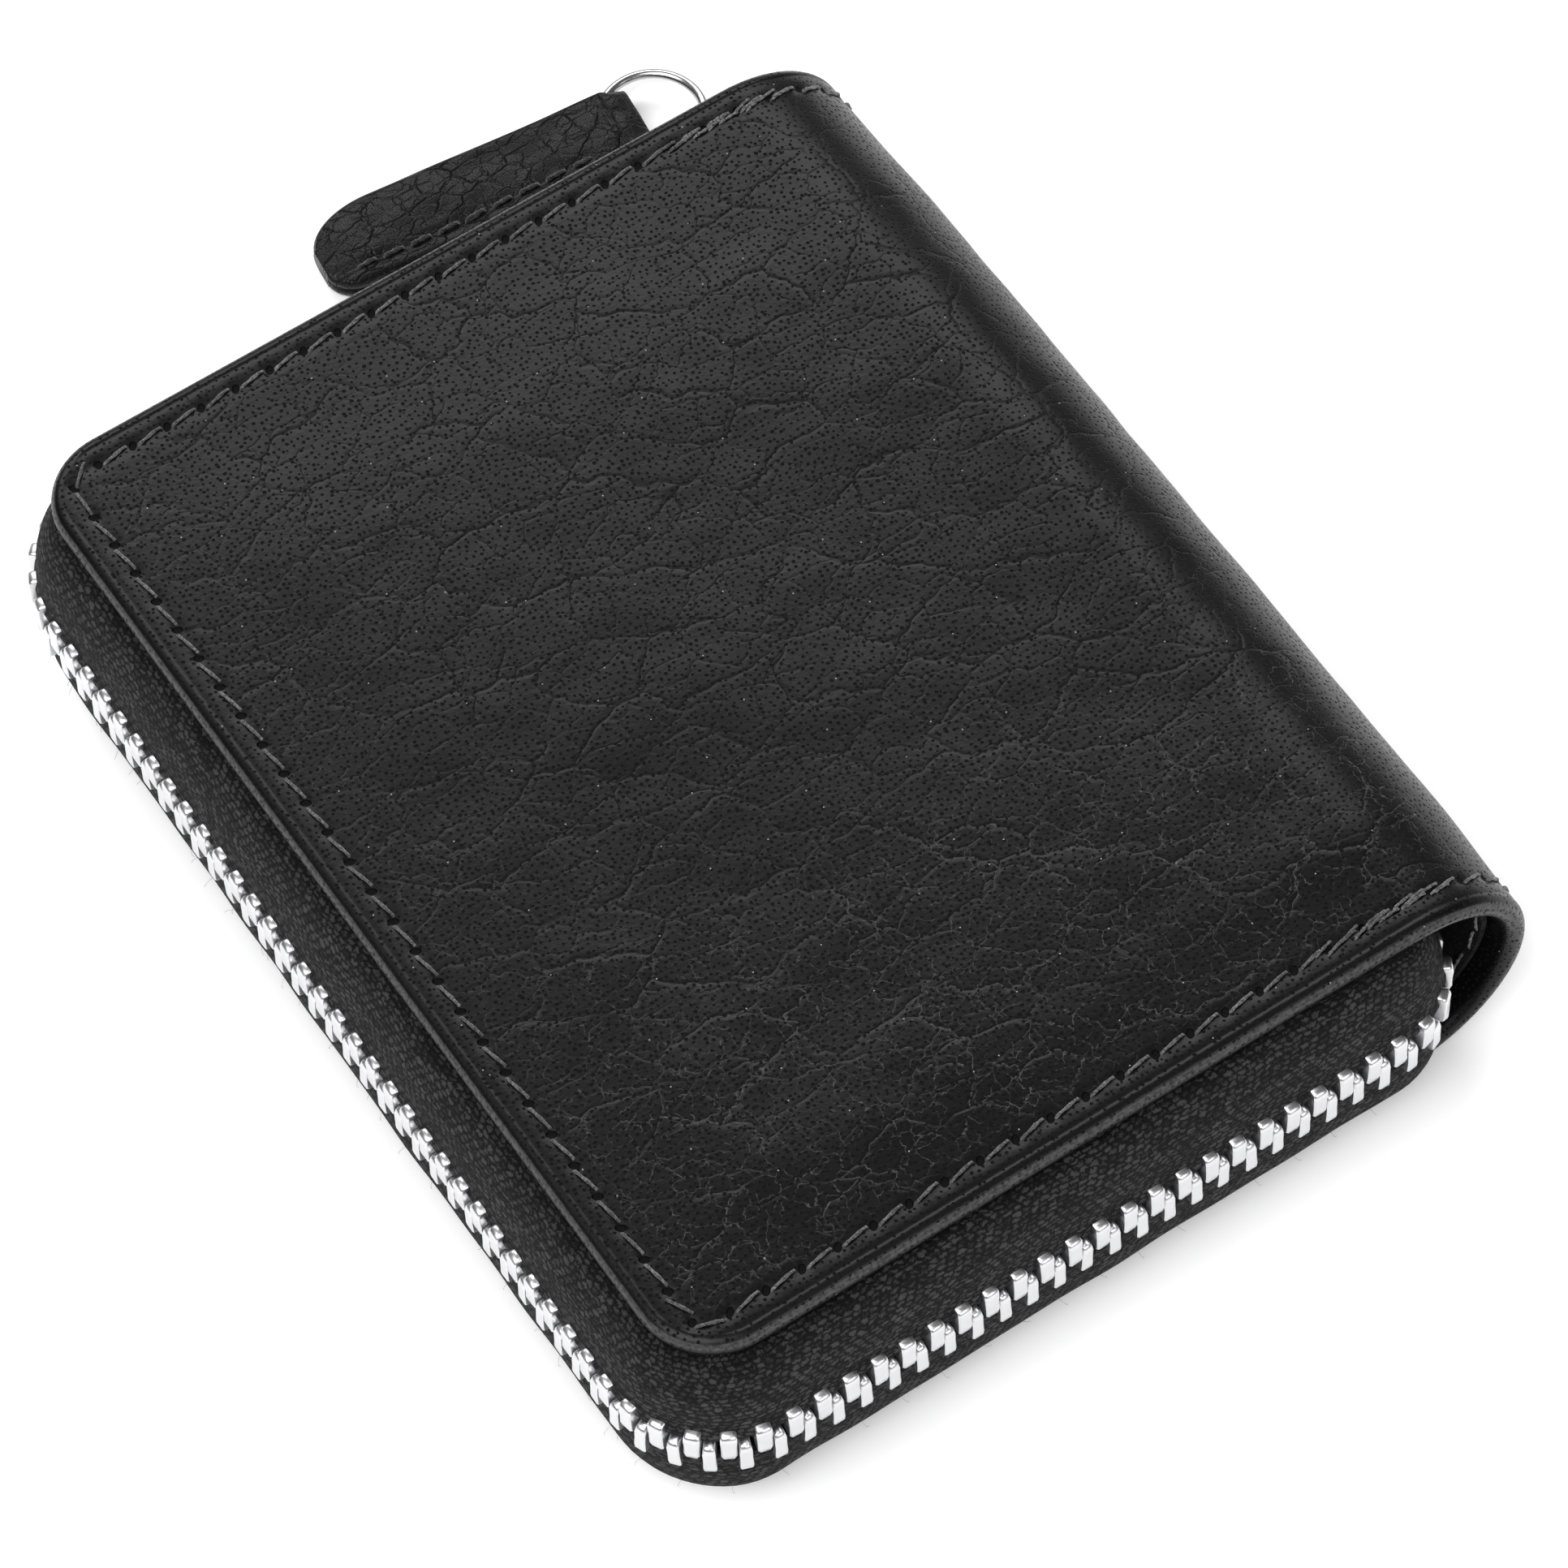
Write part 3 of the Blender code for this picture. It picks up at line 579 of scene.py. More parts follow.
# %% The tree that sets shapes along a line
def make_along_tree():
    tree = bpy.data.node_groups.new("set along a line", "GeometryNodeTree")
    tree.interface.new_socket("Line", in_out='INPUT', socket_type="NodeSocketGeometry")
    for label, kind in (("Shape", "Object"), ("Count", "Int"), ("Start", "Float"), ("Uneven", "Float"),
                        ("Finish", "Material")):
        tree.interface.new_socket(label, in_out='INPUT', socket_type="NodeSocket" + kind)
    tree.interface.new_socket("Mesh", in_out='OUTPUT', socket_type="NodeSocketGeometry")
    source = tree.nodes.new("NodeGroupInput").outputs
    curve = add(tree, "GeometryNodeMeshToCurve", {0: source["Line"]}).outputs[0]
    whole = add(tree, "GeometryNodeCurveLength", {0: curve}).outputs[0]
    trimmed = add(tree, "GeometryNodeTrimCurve", {0: curve, 4: source["Start"], 5: whole}, mode='LENGTH')
    spaced = add(tree, "GeometryNodeResampleCurve", {0: trimmed.outputs[0], "Count": source["Count"]})
    up = add(tree, "GeometryNodeInputNamedAttribute", {"Name": "up"}, data_type='FLOAT_VECTOR')
    tangent = add(tree, "GeometryNodeInputTangent").outputs[0]
    turn = add(tree, "FunctionNodeAxesToRotation", {0: up.outputs[0], 1: tangent},
               primary_axis='Z', secondary_axis='X')
    back = calc(tree, 'MULTIPLY', source["Uneven"], -1.0)
    jitter = add(tree, "FunctionNodeRandomValue", {"Seed": 7}, data_type='FLOAT_VECTOR')
    plug(jitter, {0: back, 1: source["Uneven"]})
    spin = add(tree, "FunctionNodeEulerToRotation", {0: jitter.outputs[0]}).outputs[0]
    turned = add(tree, "FunctionNodeRotateRotation", {0: turn.outputs[0], 1: spin}, rotation_space='LOCAL')
    shape = add(tree, "GeometryNodeObjectInfo", {"Object": source["Shape"]})
    copies = add(tree, "GeometryNodeInstanceOnPoints", {
        "Points": spaced.outputs[0], "Instance": shape.outputs["Geometry"], "Rotation": turned.outputs[0]})
    real = add(tree, "GeometryNodeRealizeInstances", {0: copies.outputs[0]})
    done = add(tree, "GeometryNodeSetMaterial", {0: real.outputs[0], "Material": source["Finish"]})
    plug(tree.nodes.new("NodeGroupOutput"), {0: done.outputs[0]})
    return tree


ALONG_TREE = make_along_tree()


def set_along(name, line, ups, shape, count, finish, start=0.0, uneven=0.0):
    """Run the tree on a line of points in millimetres and keep the result as a plain mesh."""
    mesh = bpy.data.meshes.new(name)
    edges = [(i, i + 1) for i in range(len(line) - 1)]
    mesh.from_pydata([tuple(p) for p in np.asarray(line) * MM], edges, [])
    up = mesh.attributes.new("up", 'FLOAT_VECTOR', 'POINT')
    up.data.foreach_set("vector", np.asarray(ups, np.float32).ravel())
    holder = link_object(name + "_line", mesh)
    mod = holder.modifiers.new("along", 'NODES')
    mod.node_group = ALONG_TREE
    values = {"Shape": shape, "Count": count, "Start": start * MM, "Uneven": uneven, "Finish": finish}
    for item in ALONG_TREE.interface.items_tree:
        if item.in_out == 'INPUT' and item.name in values:
            mod[item.identifier] = values[item.name]
    holder.update_tag()
    graph = bpy.context.evaluated_depsgraph_get()
    made = bpy.data.meshes.new_from_object(holder.evaluated_get(graph))
    bpy.data.objects.remove(holder, do_unlink=True)
    made.name = name
    made.shade_smooth()
    made.set_sharp_from_angle(angle=radians(40))
    print(name, len(made.polygons), "faces")
    return link_object(name, made)


def pattern_shape(name, points, faces):
    """A small shape that the tree copies; it is deleted once everything is made."""
    obj = link_object(name, raw_mesh(name, points, faces))
    obj.hide_render = True
    SHAPES.append(obj)
    return obj


SHAPES = []


# %% [markdown]
# ## Thread
# Saddle-like lock stitches: each stitch lies slightly slanted on the leather and dives into a hole at
# both ends. The thread is two-ply, so its section is an oval that turns as it goes.

# %% Thread material and one stitch
def make_thread(name, dark, light):
    mat, tree, shader = new_material(name)
    place = add(tree, "ShaderNodeTexCoord").outputs["Object"]
    fibres = noise(tree, place, 5200.0, 3.0)
    patch = noise(tree, place, 300.0, 2.0)
    colour = blend_colour(tree, fibres.fade(0.35, 0.65), grey(dark), grey(light))
    colour = blend_colour(tree, patch.fade(0.35, 0.7, 0.0, 0.75), colour, grey(dark))
    plug(shader, {"Base Color": colour, "Roughness": 0.55, "Sheen Weight": 0.4})
    set_bump(tree, shader, fibres, 0.8, 0.05)
    return mat


THREAD = make_thread("grey thread", 0.02, 0.17)
PALE_THREAD = make_thread("bobbin thread", 0.05, 0.20)
DARK_THREAD = make_thread("black thread", 0.004, 0.03)


def stitch_shape(name, length, radius, slant, turns):
    sides, steps = 7, 10
    points = []
    for i in range(steps + 1):
        t = 2 * i / steps - 1
        size = radius * (1 - 0.35 * t ** 6)
        twist = turns * pi * t
        for k in range(sides):
            a = 2 * pi * k / sides
            u, v = 1.25 * size * cos(a), 0.85 * size * sin(a)
            y = u * cos(twist) - v * sin(twist) + slant * t
            z = u * sin(twist) + v * cos(twist) + 0.13 - 0.5 * t ** 6
            points.append((length / 2 * t, y, z))
    return pattern_shape(name, points, tube_faces(steps + 1, sides))


COVER_STITCH = stitch_shape("cover_stitch", 2.85, 0.138, 0.30, 1.1)
SHORT_STITCH = stitch_shape("short_stitch", 2.3, 0.12, 0.22, 1.6)


# %% Sewing the covers
def seam_line(front, inside=False):
    """Points of the sewing line on the leather, with the way up at each."""
    seam = COLUMNS[:, 4] + (0.3 if inside else 0.0)
    s = COLUMNS[:, 0] - COLUMNS[:, 2] * seam
    y = COLUMNS[:, 1] - COLUMNS[:, 3] * seam
    low = -2.8 if inside else -0.08 if front else -0.33
    line = wrap(s, y, low, front)
    ups = wrap(s, y, low + (-1.0 if inside else 1.0), front) - line
    return line, ups


for name, front in (("front_stitches", True), ("back_stitches", False)):
    seam = set_along(name, *seam_line(front), COVER_STITCH, STITCHES + 1, THREAD, 0.0, 0.05)
    keep_bent(seam, "leather", front)


# %% [markdown]
# Both ends of the seam are locked with a few stitches sewn twice, and inside the spine's open ends the
# paler bobbin thread shows. Each is a short row on a stretch of the same sewing line.

# %% Back-tacks and the bobbin side
def short_seam(name, front, span, end, count, inside=False, sideways=0.0, finish=THREAD):
    """A few stitches on one stretch of the sewing line, given as pattern lengths from the panel."""
    line, ups = seam_line(front, inside)
    some = (COLUMNS[:, 0] > span[0]) & (COLUMNS[:, 0] < span[1]) & (COLUMNS[:, 1] * end > 0)
    line = line[some] + np.array((0.0, sideways, 0.0))
    keep_bent(set_along(name, line, ups[some], SHORT_STITCH, count, finish, 0.0, 0.12), "leather", front)


for end, label in ((-1, "near"), (1, "far")):
    for turn in (0, 1):
        short_seam("back_tack_%s_%d" % (label, turn), True, (20.5 + turn, 31.0 + turn), end, 5,
                   sideways=0.2 * (1 - 2 * turn))
    for side in ("front", "back"):
        short_seam("bobbin_thread_%s_%s" % (side, label), side == "front", (25.0, SPINE_S + 1.0), end, 7,
                   inside=True, finish=PALE_THREAD)


# %% [markdown]
# ## The zip's line
# Tape and teeth follow one line in plan: along the far side from the parked slider, round two corners,
# and along the near side to where the chain turns in at the open end of the spine.

# %% The zip's line
END_CURL, END_X, END_TAIL = 6.2, 25.1, 4.5
HOME_CURL, HOME_X = 2.5, 31.2
SEWN_TO = 22.0


def zip_stations(step=0.8):
    """Rows of x, y, outward normal, sewn share and free share along the chain."""
    rows = []

    def bend(cx, cy, radius, start, end, sewn=1.0, free=(0.0, 0.0)):
        count = max(4, int(radius * radians(abs(end - start)) / step))
        for i in range(count + 1):
            a = radians(start + (end - start) * i / count)
            loose = free[0] + (free[1] - free[0]) * i / count
            rows.append((cx + radius * cos(a), cy + radius * sin(a), cos(a), sin(a), sewn, loose))

    def run(x0, x1, y, normal, sewn, free):
        count = int(abs(x1 - x0) / step)
        for i in range(1, count):
            t = i / count
            rows.append((x0 + (x1 - x0) * t, y, 0.0, normal, sewn[0] + (sewn[1] - sewn[0]) * t,
                         free[0] + (free[1] - free[0]) * t))

    bend(HOME_X, HOME_Y - HOME_CURL, HOME_CURL, 0, 90, 0.0, (2.2, 1.0))
    run(HOME_X, SEWN_TO, HOME_Y, 1.0, (0.0, 0.0), (1.0, 0.0))
    run(SEWN_TO, SEWN_TO - 5.0, HOME_Y, 1.0, (0.0, 1.0), (0.0, 0.0))
    run(SEWN_TO - 5.0, CHAIN_X + CHAIN_R, HOME_Y, 1.0, (1.0, 1.0), (0.0, 0.0))
    bend(CHAIN_X + CHAIN_R, HOME_Y - CHAIN_R, CHAIN_R, 90, 180)
    first, last = HOME_Y - CHAIN_R, -CHAIN_Y + CHAIN_R
    sides = int((first - last) / step)
    for i in range(1, sides):
        rows.append((CHAIN_X, first + (last - first) * i / sides, -1.0, 0.0, 1.0, 0.0))
    bend(CHAIN_X + CHAIN_R, -CHAIN_Y + CHAIN_R, CHAIN_R, 180, 270)
    run(CHAIN_X + CHAIN_R, SEWN_TO - 5.0, -CHAIN_Y, -1.0, (1.0, 1.0), (0.0, 0.0))
    run(SEWN_TO - 5.0, SEWN_TO, -CHAIN_Y, -1.0, (1.0, 0.0), (0.0, 0.0))
    run(SEWN_TO, END_X, -CHAIN_Y, -1.0, (0.0, 0.0), (0.0, 0.0))
    bend(END_X, -CHAIN_Y + END_CURL, END_CURL, 270, 360, 0.0, (0.0, 1.0))
    for i in range(1, 6):
        rows.append((END_X + END_CURL, -CHAIN_Y + END_CURL + END_TAIL * i / 5, 1.0, 0.0, 0.0, 1.0))
    return np.array(rows)


ZIP = zip_stations()
ZIP_RUN = run_along(ZIP[:, :2])
print("zip line %.0f mm" % ZIP_RUN[-1])


# %% [markdown]
# ## Woven tape
# Zip tape is a herringbone twill: warp threads run along it, each floats over a few weft threads, and
# each is shifted against its neighbour; the shift turns back every few threads. That rule is written
# directly in the shader, on a UV map that holds millimetres along and across the tape.

# %% Weave
def make_weave():
    inputs = [("Cloth", "Vector", None), ("Thread", "Float", 0.42), ("Float", "Float", 0.95),
              ("Turn", "Float", 5.0)]
    tree, source, end = new_group("herringbone weave", inputs, ["Height", "Gap", "Own"])
    cloth = source["Cloth"]
    drift = vector(tree, 'SCALE', noise(tree, cloth, 1.6, 4.0, 0.7, "Color"), 1.05)
    moved = vector(tree, 'ADD', cloth, drift)
    row = axis(tree, moved, 1) / source["Thread"]
    index = row.step('FLOOR')
    phase = axis(tree, moved, 0) / source["Float"] + index.step('PINGPONG', source["Turn"]) * 0.29
    along = (phase.step('FRACT') * pi).step('SINE')
    across = (row.step('FRACT') * pi).step('SINE')
    height = along.step('POWER', 0.5) * across.step('POWER', 0.7)
    cell = add(tree, "ShaderNodeCombineXYZ", {0: phase.step('FLOOR'), 1: index}).outputs[0]
    own = add(tree, "ShaderNodeTexWhiteNoise", {"Vector": cell}, noise_dimensions='2D').outputs["Value"]
    own = Value(tree, own)
    fuzz = noise(tree, cloth, 5.0, 4.0, 0.7)
    # Gap marks the low parts between the threads; the cloth paints them darker as painted shade.
    plug(end, {"Height": fuzz * 1.8 + (own * 0.7 + height), "Gap": height.fade(0.75, 0.3), "Own": own})
    return tree


WEAVE = make_weave()


def make_cloth(name, light, thread, float_length, turn, depth):
    mat, tree, shader = new_material(name)
    cloth = uv(tree, "pattern")
    weave = use_group(tree, WEAVE, {"Cloth": cloth, "Thread": thread, "Float": float_length, "Turn": turn})
    lit = noise(tree, cloth, 0.5, 4.0) * 0.6 + weave["Own"] * 0.7
    lint = noise(tree, cloth, 2.8, 5.0, 0.75)
    # Painted shade: the cloth is painted near black except on the thread crowns and the lint, and the gaps
    # between threads darker still.
    crown = (lint * 3.0 + weave["Height"]).fade(2.9, 3.9)
    colour = blend_colour(tree, lit, grey(light * 1.5), grey(light * 6.0))
    colour = blend_colour(tree, crown, grey(light * 0.1), colour)
    colour = blend_colour(tree, weave["Gap"] * 0.9, colour, grey(light * 0.05))
    plug(shader, {"Base Color": colour, "Roughness": 0.8, "Specular IOR Level": 0.25})
    set_bump(tree, shader, weave["Height"], 1.0, depth)
    return mat


TAPE_CLOTH = make_cloth("zip tape weave", 0.021, 0.44, 0.86, 5.0, 0.8)
LINING_CLOTH = make_cloth("lining cloth", 0.004, 0.2, 0.5, 3.0, 0.06)


# %% Tape
def tape_outline(sewn, free, front):
    """Cross-section of the tape: a rolled top under the cover, a slope, and the bead that holds the teeth."""
    flange = 4.0 * sewn
    bulge = 0.0 if front else 1.0
    lift = 1.4 * free
    lean = 0.9 * min(free, 1.0)
    outer = [(-0.50, MID - 1.15), (-0.1, MID - 1.0), (0.42, MID - 1.3), (0.62, MID - 1.9), (0.45, MID - 2.5),
             (0.30, MID - 3.1), (0.16 + bulge * 0.3, MID - 4.6), (-0.25 + bulge * 0.65, 4.9 + lift),
             (-0.75 + bulge * 0.8 + lean * 0.4, 3.9 + lift), (-1.35 + bulge * 0.75 + lean * 0.6, 3.0 + lift),
             (-1.95 + bulge * 0.6 + lean * 0.8, 2.45 + lift), (-2.6 + bulge * 0.4 + lean, 2.2 + lift)]
    outer.append((-3.1 + lean - flange, 2.2 + lift))
    inner = [(-3.1 + lean - flange, 2.75 + lift), (-2.7 + bulge * 0.4 + lean, 2.8 + lift),
             (-2.1 + bulge * 0.6 + lean * 0.7, 3.4 + lift), (-1.4 + bulge * 0.7 + lean * 0.5, 4.4 + lift),
             (-0.75 + bulge * 0.5, 5.6 + lift * 0.6), (-0.42, MID - 4.0), (-0.45, MID - 2.6),
             (-0.68, MID - 1.9)]
    points = np.array(outer + inner)
    if front:
        points[:, 1] = TOP - points[:, 1]
    return points


def make_tape(name, front):
    rings = []
    for x, y, nx, ny, sewn, free in ZIP:
        rings.append([(x + nx * d, y + ny * d, z) for d, z in tape_outline(sewn, free, front)])
    rings = np.array(rings)
    sides = rings.shape[1]
    slope = slice(6, 12)               # the outline's points that ripple
    wave = 0.12 * waves(ZIP_RUN, ZIP_RUN * 0.0, 9.0, 12 if front else 13)
    rings[:, slope, :2] += (ZIP[:, 2:4] * wave[:, None])[:, None]
    across = run_along(tape_outline(1.0, 0.0, front))
    pattern = np.stack((np.repeat(ZIP_RUN, sides), np.tile(across, len(ZIP))), -1)
    obj = make_mesh(name, rings.reshape(-1, 3), tube_faces(len(ZIP), sides), TAPE_CLOTH,
                    {"pattern": pattern}, sharp=80.0)
    keep(obj, "zip_tape", "front" if front else "back", ("upper" if front else "lower") + "_zip_tape")


make_tape("upper_tape", True)
make_tape("lower_tape", False)


# %% [markdown]
# A used zip has a little fluff. Short bowed fibres stand out of the lower tape's bead in two rows.

# %% Stray fibres on the tape
def fibre_shape(name, length, bow):
    steps, sides, radius = 6, 3, 0.016
    points = []
    for i in range(steps + 1):
        t = i / steps
        rise = bow * sin(2.4 * t) + 0.2 * length * t
        for k in range(sides):
            a = 2 * pi * k / sides
            points.append((length * sin(1.4 * t), radius * cos(a), rise + radius * sin(a)))
    return pattern_shape(name, points, tube_faces(steps + 1, sides))


FIBRE = fibre_shape("fibre", 0.9, 0.5)
bead = np.stack((ZIP[:, 0] + ZIP[:, 2] * 0.36, ZIP[:, 1] + ZIP[:, 3] * 0.36, np.full(len(ZIP), 5.4)), -1)
bead_out = np.stack((ZIP[:, 2], ZIP[:, 3], 0 * ZIP[:, 2] - 0.35), -1)
for part, (lift, count) in enumerate(((0.0, 70), (1.6, 50))):
    line = bead + np.array((0.0, 0.0, lift))
    name, start = "tape_fibres_%d" % (part + 1), 3.0 * part
    keep(set_along(name, line, bead_out, FIBRE, count, DARK_THREAD, start, 1.1), "zip_tape", "back")


# %% [markdown]
# ## Metal
# Nickel plate is bright but never perfect: it has a soft cloudiness, hairline scratches and dull spots
# where it was tumbled. One group makes that wear for teeth, slider, link and ring.

# %% Plated metal
def make_wear():
    tree, source, end = new_group("plating wear", [("Amount", "Float", 1.0)], ["Cloud", "Scratch"])
    place = add(tree, "ShaderNodeTexCoord").outputs["Object"]
    squeezed = add(tree, "ShaderNodeMapping", {0: place, "Scale": (500.0, 500.0, 4200.0)}).outputs[0]
    scratch = noise(tree, squeezed, 1.0, 2.0).fade(0.6, 0.7)
    plug(end, {"Cloud": noise(tree, place, 900.0, 4.0) * source["Amount"],
               "Scratch": scratch * source["Amount"]})
    return tree


WEAR = make_wear()


def make_metal(name, light, rough, amount):
    mat, tree, shader = new_material(name)
    wear = use_group(tree, WEAR, {"Amount": amount})
    colour = blend_colour(tree, wear["Cloud"], grey(light), grey(light * 0.72))
    dull = wear["Cloud"] * 0.22 + rough + wear["Scratch"] * 0.15
    plug(shader, {"Base Color": colour, "Roughness": dull, "Metallic": 1.0})
    set_bump(tree, shader, wear["Cloud"], 0.25, 0.03)
    return mat


TOOTH_METAL = make_metal("nickel teeth", 0.74, 0.27, 0.4)
BRIGHT_METAL = make_metal("bright nickel", 0.60, 0.16, 0.6)


# %% Teeth
def tooth_shape(name, width):
    """One tooth: rounded head past the middle, a slight waist, and a base with a domed end at the tape."""
    # height, half width along the chain, reach outwards, reach inwards, corner
    levels = [(-0.78, 0.40, 0.80, -0.72, 0.16), (-0.58, 0.56, 1.04, -0.96, 0.16),
              (0.00, 0.62, 1.15, -1.08, 0.13), (1.10, 0.60, 1.11, -1.10, 0.12),
              (2.10, 0.65, 1.15, -1.12, 0.12), (2.52, 0.64, 1.08, -1.08, 0.14),
              (2.70, 0.58, 0.92, -0.95, 0.16), (2.79, 0.46, 0.62, -0.66, 0.16)]
    points = []
    for z, half, front, back, cut in levels:
        half, cut = half * width, cut * width
        outline = [(half, back + cut), (half, front - cut), (half - cut, front), (-half + cut, front),
                   (-half, front - cut), (-half, back + cut), (-half + cut, back), (half - cut, back)]
        points += [(x, y, z) for x, y in outline]
    # The tree turns X to the line and Z up, so outwards is -Y on the upper row.
    return pattern_shape(name, [(x, -y, z) for x, y, z in points], tube_faces(len(levels), 8))


TOOTH, LOW_TOOTH = tooth_shape("tooth", 1.0), tooth_shape("low_tooth", 0.82)
PITCH = 2.54
HOME_RUN = float(ZIP_RUN[np.argmin(np.hypot(ZIP[:, 0] - HOME_X, ZIP[:, 1] - HOME_Y))])


def make_teeth(name, front, node):
    first = HOME_RUN + 1.4
    count = int((ZIP_RUN[-1] - 3.0 - first) / PITCH)
    begin = first + (PITCH / 2 if front else -0.12)
    finish = begin + (count - 1) * PITCH
    run = np.concatenate(([begin], ZIP_RUN[(ZIP_RUN > begin) & (ZIP_RUN < finish)], [finish]))
    x, y = (np.interp(run, ZIP_RUN, ZIP[:, k]) for k in (0, 1))
    line = np.stack((x, y, np.full(len(run), MID)), -1)
    ups = np.tile((0.0, 0.0, 1.0 if front else -1.0), (len(line), 1))
    row = set_along(name, line, ups, TOOTH if front else LOW_TOOTH, count, TOOTH_METAL, 0.0, 0.03)
    keep(row, "zip_teeth", "front" if front else "back", node)


make_teeth("upper_row_of_teeth", True, "upper_teeth")
make_teeth("lower_row_of_teeth", False, "lower_teeth")


# %% [markdown]
# ## Ring, link and slider
# The ring is a plain bent wire, so it is a torus with many sides. The link is the same wire bent to a
# long loop between the slider's crown and the ring.

# %% Wire pieces
def wire_piece(name, centre_line, outs, radius, node, body, sides=14):
    """A closed round wire: centre points and the outward direction at each, in millimetres."""
    count = len(centre_line)
    tangents = np.roll(centre_line, -1, 0) - np.roll(centre_line, 1, 0)
    tangents /= np.linalg.norm(tangents, axis=1)[:, None]
    sideways = np.cross(tangents, outs)
    points = []
    for k in range(sides):
        a = 2 * pi * k / sides
        points.append(centre_line + radius * (cos(a) * outs + sin(a) * sideways))
    points = np.stack(points, 1).reshape(-1, 3)
    faces = grid_faces(count, sides, closed=True)
    last = (count - 1) * sides
    faces += [(last + k, last + (k + 1) % sides, (k + 1) % sides, k) for k in range(sides)]
    keep(make_mesh(name, points, faces, BRIGHT_METAL, sharp=60.0), "nickel", body, node)


ring_low, ring_high = box_mm("pull_ring")
RING = (ring_low + ring_high) / 2
RING_WIRE = (ring_high[2] - ring_low[2]) / 2
RING_R = (ring_high[0] - ring_low[0]) / 2 - RING_WIRE
angles = np.linspace(0, 2 * pi, 96, endpoint=False)
ring_outs = np.stack((np.cos(angles), np.sin(angles), 0 * angles), -1)
wire_piece("wire_ring", RING + ring_outs * RING_R, ring_outs, RING_WIRE, "pull_ring", "ring", 16)

LINK_X, LINK_R, LINK_WIRE = 29.0, 1.1, 0.4
CROWN = np.array((LINK_X, HOME_Y + 3.9, MID))
LINK_END = np.array((LINK_X, RING[1] - RING_R, RING[2]))
hang = LINK_END - CROWN
hang /= np.linalg.norm(hang)
link_side = np.cross((1.0, 0.0, 0.0), hang)
link_line, link_outs = [], []
for centre, start in ((LINK_END, -90), (CROWN, 90)):
    for i in range(25):
        a = radians(start + 180 * i / 24)
        out = hang * cos(a) + link_side * sin(a)
        link_line.append(centre + out * LINK_R)
        link_outs.append(out)
wire_piece("wire_link", np.array(link_line), np.array(link_outs), LINK_WIRE, "pull_link", "link", 12)
print("ring %.1f mm across, wire %.2f mm" % (2 * (RING_R + RING_WIRE), 2 * RING_WIRE))

# %% [markdown]
# ## Slider and stops
# The slider is a die-cast saddle: two plates with rounded corners, two ridges between them that part the
# teeth and leave the rows a way through, and a crown on the outside that holds the link. Flat outlines
# are given a thickness and then a small live bevel, which is how a casting's edges look. The stops are
# pressed clips, made the same way.

# %% Bevelled metal from flat outlines
def rounded_outline(half_u, half_v, corner, steps=5):
    points = []
    for cu, cv, start in ((1, 1, 0), (-1, 1, 90), (-1, -1, 180), (1, -1, 270)):
        for i in range(steps + 1):
            a = radians(start + 90 * i / steps)
            points.append((cu * (half_u - corner) + corner * cos(a),
                           cv * (half_v - corner) + corner * sin(a)))
    return points


def extrude(outline, place, low, high):
    """Points and faces of an outline between two heights; place turns (u, v, w) into a point."""
    return [place(u, v, w) for w in (low, high) for u, v in outline], tube_faces(2, len(outline))


def join_bodies(bodies):
    points, faces = [], []
    for some_points, some_faces in bodies:
        faces += [[i + len(points) for i in face] for face in some_faces]
        points += list(some_points)
    return points, faces


def casting(name, bodies, node, body, slot, width=0.16, finish=None):
    points, faces = join_bodies(bodies)
    obj = make_mesh(name, points, faces, finish or BRIGHT_METAL, sharp=30.0)
    bevel = obj.modifiers.new("soft edges", 'BEVEL')
    bevel.width = width * MM
    bevel.segments = 2
    bevel.limit_method = 'ANGLE'
    bevel.harden_normals = True
    keep(obj, slot, body, node)


# %% Slider body
SLIDER_X = 26.0
PLATE_IN, PLATE = 1.45, 0.75           # middle plane to a plate, and its thickness


def shield():
    """Side view of a plate: broad shoulders where the rows part, narrower where they leave closed."""
    points = []
    for u, v in rounded_outline(5.0, 3.6, 1.6, 6):
        pinch = smooth((-u - 0.5) / 3.5)
        points.append((u, v * (1 - 0.12 * float(pinch))))
    return points


def side_plane(u, v, w):
    return SLIDER_X + u, HOME_Y + w, MID + v


plates = [extrude(shield(), side_plane, side * PLATE_IN, side * (PLATE_IN + PLATE)) for side in (-1, 1)]
flanges = []
for side in (-1, 1):
    for end in (-1, 1):
        bar = [(u, end * 3.1 + v) for u, v in rounded_outline(3.2, 0.32, 0.25, 3)]
        flanges.append(extrude(bar, side_plane, side * 1.27, side * (PLATE_IN + 0.2)))
wedge_side = [(1.2, 0.0), (2.0, 0.2), (4.4, 0.2), (4.4, -0.2), (2.0, -0.2)]
ridges = [extrude(wedge_side, side_plane, side * 1.22, side * 1.7) for side in (-1, 1)]
crown_side = [(-4.0, 1.9), (-3.95, 3.0), (-3.6, 3.8), (-3.0, 4.15), (-1.5, 4.25), (2.5, 4.25), (3.9, 4.15),
              (4.5, 3.8), (4.8, 3.0), (4.8, 1.9), (3.9, 1.9), (3.9, 3.3), (3.5, 3.55), (-2.7, 3.55),
              (-3.1, 3.3), (-3.1, 1.9)]
crown = extrude(crown_side, lambda u, v, w: (SLIDER_X + u, HOME_Y + v, MID + w), -0.5, 0.5)
casting("slider_casting", plates + flanges + ridges + [crown], "slider_body", "slider", "nickel")
slider_low, slider_high = box_mm("slider_body")
print("slider", [round(float(v), 1) for v in slider_high - slider_low])


# %% Stops
def on_zip(run):
    """Place and outward normal at a distance along the zip's line."""
    x, y, nx, ny = (float(np.interp(run, ZIP_RUN, ZIP[:, k])) for k in range(4))
    size = sqrt(nx * nx + ny * ny)
    return x, y, nx / size, ny / size


